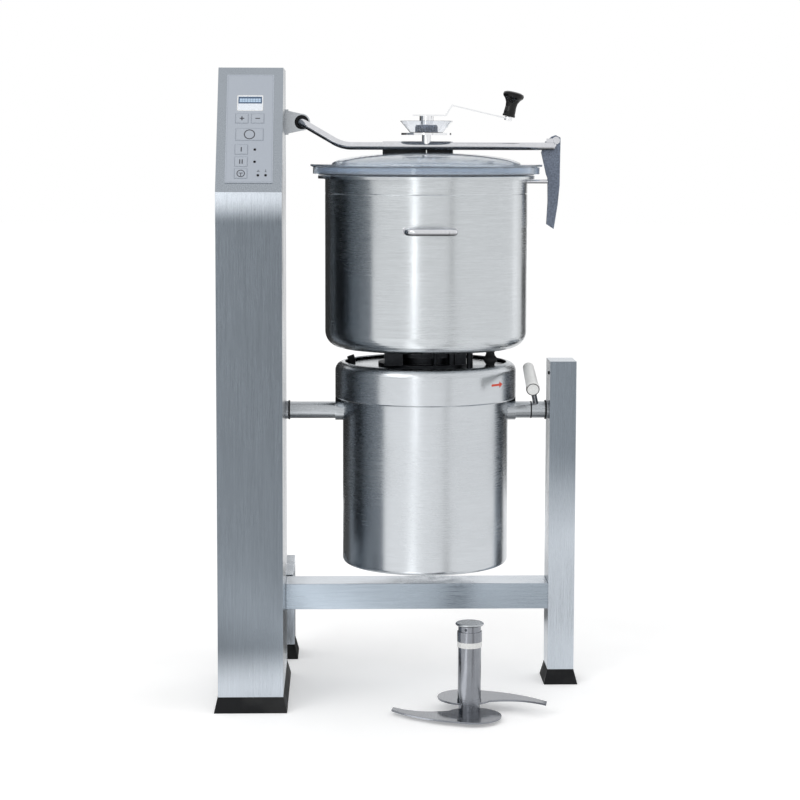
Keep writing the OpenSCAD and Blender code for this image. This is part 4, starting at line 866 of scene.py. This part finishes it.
class MIXER_OT_lid(bpy.types.Operator):
    """Round the edges of the lock, the hub, the crank, the sleeve and the wiper, and slim the arm's pad"""

    bl_idname = "mixer.lid"
    bl_label = "Lid and its arm"

    pad_share: FloatProperty(name="Pad", description="Depth of the pad over that of its solid", default=0.55)

    def execute(self, context):
        edges = props().edges
        ease_all([
            (edges.cast, ("lock_lever",)),
            (edges.machined, ("lock_pin", "lid_hub", "hub_nuts", "crank", "arm_sleeve", "wiper")),
        ])
        eased("lid_pad", edges.machined, slim=self.pad_share)
        return {"FINISHED"}


class MIXER_OT_bowl_unit(bpy.types.Operator):
    """Finish the bowl and motor unit: the clamp, the rests, the arrow, the weld rings and the grip's end"""

    bl_idname = "mixer.bowl_unit"
    bl_label = "Bowl and motor unit"

    arrow_turn: FloatProperty(
        name="Arrow's place", description="Turn round the band", subtype="ANGLE", default=0.85
    )
    arrow_drop: length("Arrow's drop", "Distance of the arrow below the band's top", 40)
    arrow_long: length("Arrow's length", "Length of the arrow", 40)
    weld_reach: length("Welds' reach", "Distance of the welds from the bowl's axis", 229)

    def arrow(self):
        """A red arrow that lies round the motor's band."""
        low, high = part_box("motor_band")
        centre = middle("motor_band")
        radius = (high.x - low.x) / 2
        deep = 0.3 * MM
        shaft_middle, shaft_long, shaft_wide, head_middle, head_radius = (
            share * self.arrow_long for share in (-0.15, 0.7, 0.12, 0.28, 0.2)
        )
        shaft = bar(shaft_middle, 0, shaft_long, shaft_wide, deep)
        bpy.ops.mesh.primitive_cylinder_add(
            vertices=3, radius=head_radius, depth=deep, location=(head_middle, 0, deep / 2),
            rotation=(0, 0, -math.pi / 2)
        )
        head = bpy.context.object
        take(head)
        bpy.ops.object.transform_apply(location=True, rotation=True, scale=True)
        piece = joined([shaft, head])
        bpy.ops.object.mode_set(mode="EDIT")
        bpy.ops.mesh.select_all(action="SELECT")
        bpy.ops.mesh.subdivide(number_cuts=4)
        bpy.ops.object.mode_set(mode="OBJECT")
        for vertex in piece.data.vertices:
            turn = self.arrow_turn + vertex.co.x / radius
            out = radius + vertex.co.z
            vertex.co = (
                centre.x + out * math.sin(turn), centre.y - out * math.cos(turn),
                high.z - self.arrow_drop + vertex.co.y
            )
        settle(piece, "turning_arrow", "bowl_unit", MATERIALS["arrow"])

    def weld_rings(self):
        """Small welds where the handles meet the bowl."""
        low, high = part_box("bowl_handles")
        centre = middle("bowl")
        rod_radius, ring_radius, line, depth, sunk = 8 * MM, 9 * MM, 3.4 * MM, 3 * MM, 1 * MM
        leg = (high.x - low.x) / 2 - rod_radius
        for side, name in ((-1, "front"), (1, "rear")):
            rings = []
            for across in (-leg, leg):
                ring = hoop(0, 0, ring_radius, line, depth)
                reach = math.sqrt(self.weld_reach ** 2 - across ** 2)
                origin = Vector((centre.x + across, centre.y + side * (reach - sunk), (low.z + high.z) / 2))
                rings.append(stand(ring, origin, Vector((1, 0, 0)), Vector((0, 0, side))))
            settle(joined(rings), name + "_handle_welds", "bowl_unit", MATERIALS["rod_steel"])

    def grip_end(self):
        """The dark ring near the free end of the grip."""
        low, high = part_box("tilt_grip")
        way = Vector((0, -0.96, -0.28)).normalized()
        from_front, from_below = 12 * MM, 14.5 * MM
        free_end = Vector(((low.x + high.x) / 2, low.y + from_front, low.z + from_below))
        radius, line, depth = 13.4 * MM, 3 * MM, 9 * MM
        ring = hoop(0, 0, radius, line, depth)
        across = Vector((1, 0, 0))
        stand(ring, free_end, across, way.cross(across))
        settle(ring, "grip_ring", "bowl_unit", MATERIALS["plastic_black"])

    def execute(self, context):
        edges = props().edges
        ease_all([
            (edges.machined, ("bowl_clamp", "motor_deck", "lid_catch", "trunnion_seals", "shaft_seal")),
            (edges.rubber, ("bowl_rests",)),
        ])
        self.arrow()
        self.weld_rings()
        self.grip_end()
        return {"FINISHED"}


class MIXER_OT_blade_set(bpy.types.Operator):
    """Round the edges of the loose blade set"""

    bl_idname = "mixer.blade_set"
    bl_label = "Blade set"

    def execute(self, context):
        edges = props().edges
        ease_all([
            (edges.machined, ("blade_hub", "blade_cap", "blade_ring")),
            (edges.sheet, ("upper_blade", "lower_blade")),
        ])
        return {"FINISHED"}


# Name, place, width, height and watts of each lamp, which all look at the machine's middle
LAMPS = (
    ("soft_key", (-2.4, -3.2, 3.6), 2.6, 2.6, 45),
    ("tall_strip", (-0.75, -4.2, 1.4), 0.3, 2.6, 6),
)

# Name, place, lean and turn in degrees, width, height and brightness of each card that metal reflects
CARDS = (
    ("back_card_left", (-1.6, 2.6, 1.0), 90, 0, 3.2, 2.2, 0.03),
    ("back_card_right", (2.3, 2.6, 1.0), 90, 0, 1.4, 2.2, 0.1),
    ("side_card", (-1.9, 0.6, 1.0), 90, 90, 2.6, 2.2, 0.07),
    ("floor_card_front", (-0.44, -2.3, 0.004), 0, -19.3, 0.2, 4.4, 2.0),
    ("floor_card_left", (-0.9, 1.6, 0.004), 0, 35, 1.6, 3.2, 0.07),
    ("front_card_right", (2.13, -3.49, 1.2), 90, 25.7, 0.36, 2.6, 0.66),
    ("floor_card_right", (1.5, -2.2, 0.004), 0, 25.7, 0.26, 3.8, 0.66),
    ("side_strip", (3.6, 1.7, 1.2), 90, 114, 0.7, 2.8, 1.3),
)


class MIXER_OT_studio(bpy.types.Operator):
    """Set the pale floor, the soft light and the camera"""

    bl_idname = "mixer.studio"
    bl_label = "Studio"

    def white_for_eyes(self, tree):
        """1 for rays that see, and 0 for rays that light."""
        path = put(tree, "ShaderNodeLightPath").outputs
        seen = combined(tree, "MAXIMUM", path["Is Camera Ray"], path["Is Glossy Ray"])
        return combined(tree, "MAXIMUM", seen, path["Is Transmission Ray"])

    def sky(self):
        """A world that looks white and lights the machine softly from all round."""
        world = bpy.data.worlds.new("Studio")
        bpy.context.scene.world = world
        world.use_nodes = True
        tree = world.node_tree
        tree.nodes.clear()
        ambient, seen = (
            put(tree, "ShaderNodeBackground", {"Color": (1, 1, 1, 1), "Strength": strength})
            for strength in (props().studio.ambient, 1.0)
        )
        both = put(
            tree, "ShaderNodeMixShader",
            {0: self.white_for_eyes(tree), 1: ambient.outputs[0], 2: seen.outputs[0]}
        )
        out = put(tree, "ShaderNodeOutputWorld")
        tree.links.new(both.outputs[0], out.inputs["Surface"])

    def floor(self):
        """A pale floor that looks nearly white and keeps the machine's shadow."""
        bpy.ops.object.select_all(action="DESELECT")
        bpy.ops.mesh.primitive_plane_add(size=props().studio.floor_size)
        floor = bpy.context.object
        floor.name = "studio_floor"
        material, tree, shader, where = started("Pale floor")
        speckle = place(tree, "Speckle", {"Vector": where, "Scale": 4.0})
        tint = mixed(tree, speckle["Tone"], (0.9, 0.9, 0.9), (0.93, 0.93, 0.93))
        tree.links.new(tint, shader.inputs["Base Color"])
        fill(shader, roughness=0.9, emission_color=(1.0, 1.0, 1.0), specular_ior_level=0.0)
        glow = combined(tree, "MULTIPLY", self.white_for_eyes(tree), props().studio.floor_glow)
        tree.links.new(glow, shader.inputs["Emission Strength"])
        paint(floor, material)

    def card(self, name, at, lean, turn, width, height, grey):
        """A card that only metal sees. One without lean lies flat."""
        bpy.ops.object.select_all(action="DESELECT")
        bpy.ops.mesh.primitive_plane_add(
            size=1, location=at, rotation=(math.radians(lean), 0, math.radians(turn))
        )
        card = bpy.context.object
        card.name = name
        card.scale = (width, height, 1)
        material, _, shader, _ = started(name)
        glow = (grey, grey, grey)
        fill(shader, base_color=(0.0, 0.0, 0.0), emission_color=glow, emission_strength=1.0, roughness=1.0)
        paint(card, material)
        card.visible_camera = False
        card.visible_diffuse = False
        card.visible_shadow = False
        card.visible_transmission = False

    def lamp(self, name, at, towards, width, height, power):
        """A rectangular lamp that the camera doesn't see."""
        data = bpy.data.lights.new(name, "AREA")
        data.shape = "RECTANGLE"
        data.size, data.size_y, data.energy = width, height, power
        lamp = bpy.data.objects.new(name, data)
        bpy.context.scene.collection.objects.link(lamp)
        lamp.location = at
        lamp.rotation_euler = (Vector(towards) - Vector(at)).to_track_quat("-Z", "Y").to_euler()
        lamp.visible_camera = False

    def camera(self):
        """The camera, at the photograph's place and angle."""
        studio = props().studio
        ahead = Vector((
            math.sin(studio.yaw) * math.cos(studio.pitch), math.cos(studio.yaw) * math.cos(studio.pitch),
            -math.sin(studio.pitch)
        ))
        level = Vector((math.cos(studio.yaw), -math.sin(studio.yaw), 0))
        upright = level.cross(ahead)
        right = level * math.cos(studio.roll) + upright * math.sin(studio.roll)
        up = upright * math.cos(studio.roll) - level * math.sin(studio.roll)
        data = bpy.data.cameras.new("Camera")
        camera = bpy.data.objects.new("Camera", data)
        bpy.context.scene.collection.objects.link(camera)
        camera.matrix_world = (
            Matrix.Translation(studio.camera_place) @ Matrix((right, up, -ahead)).transposed().to_4x4()
        )
        data.lens = studio.focal_share * data.sensor_width
        data.shift_y = studio.shift
        data.clip_start, data.clip_end = 0.05, 200
        bpy.context.scene.camera = camera

    def execute(self, context):
        self.camera()
        self.sky()
        self.floor()
        machine = (CAD_BOX[0] + CAD_BOX[1]) / 2
        for name, at, width, height, power in LAMPS:
            self.lamp(name, at, machine, width, height, power)
        for card in CARDS:
            self.card(*card)
        context.scene.view_settings.view_transform = "Standard"
        return {"FINISHED"}


class MIXER_PT_panel(bpy.types.Panel):
    """Steps and settings of the mixer"""

    bl_label = "Cutter mixer"
    bl_idname = "MIXER_PT_panel"
    bl_space_type = "VIEW_3D"
    bl_region_type = "UI"
    bl_category = "Mixer"

    def draw(self, context):
        for operator in STEPS:
            self.layout.operator(operator.bl_idname)
        mixer = context.scene.mixer
        for settings in (mixer.finish, mixer.edges, mixer.studio):
            box = self.layout.box()
            for name in type(settings).__annotations__:
                box.prop(settings, name)


STEPS = (
    MIXER_OT_finishes, MIXER_OT_frame, MIXER_OT_panel, MIXER_OT_lid, MIXER_OT_bowl_unit, MIXER_OT_blade_set,
    MIXER_OT_studio,
)
SETTINGS = (MixerFinish, MixerEdges, MixerStudio, Mixer)


def register():
    for made in (*SETTINGS, *STEPS, MIXER_PT_panel):
        bpy.utils.register_class(made)
    bpy.types.Scene.mixer = PointerProperty(type=Mixer)


def unregister():
    del bpy.types.Scene.mixer
    for made in reversed((*SETTINGS, *STEPS, MIXER_PT_panel)):
        bpy.utils.unregister_class(made)


def main():
    register()
    bpy.ops.mixer.finishes()
    bpy.ops.mixer.frame()
    bpy.ops.mixer.panel()
    bpy.ops.mixer.lid()
    bpy.ops.mixer.bowl_unit()
    bpy.ops.mixer.blade_set()
    bpy.ops.mixer.studio()


if __name__ == "__main__":
    main()
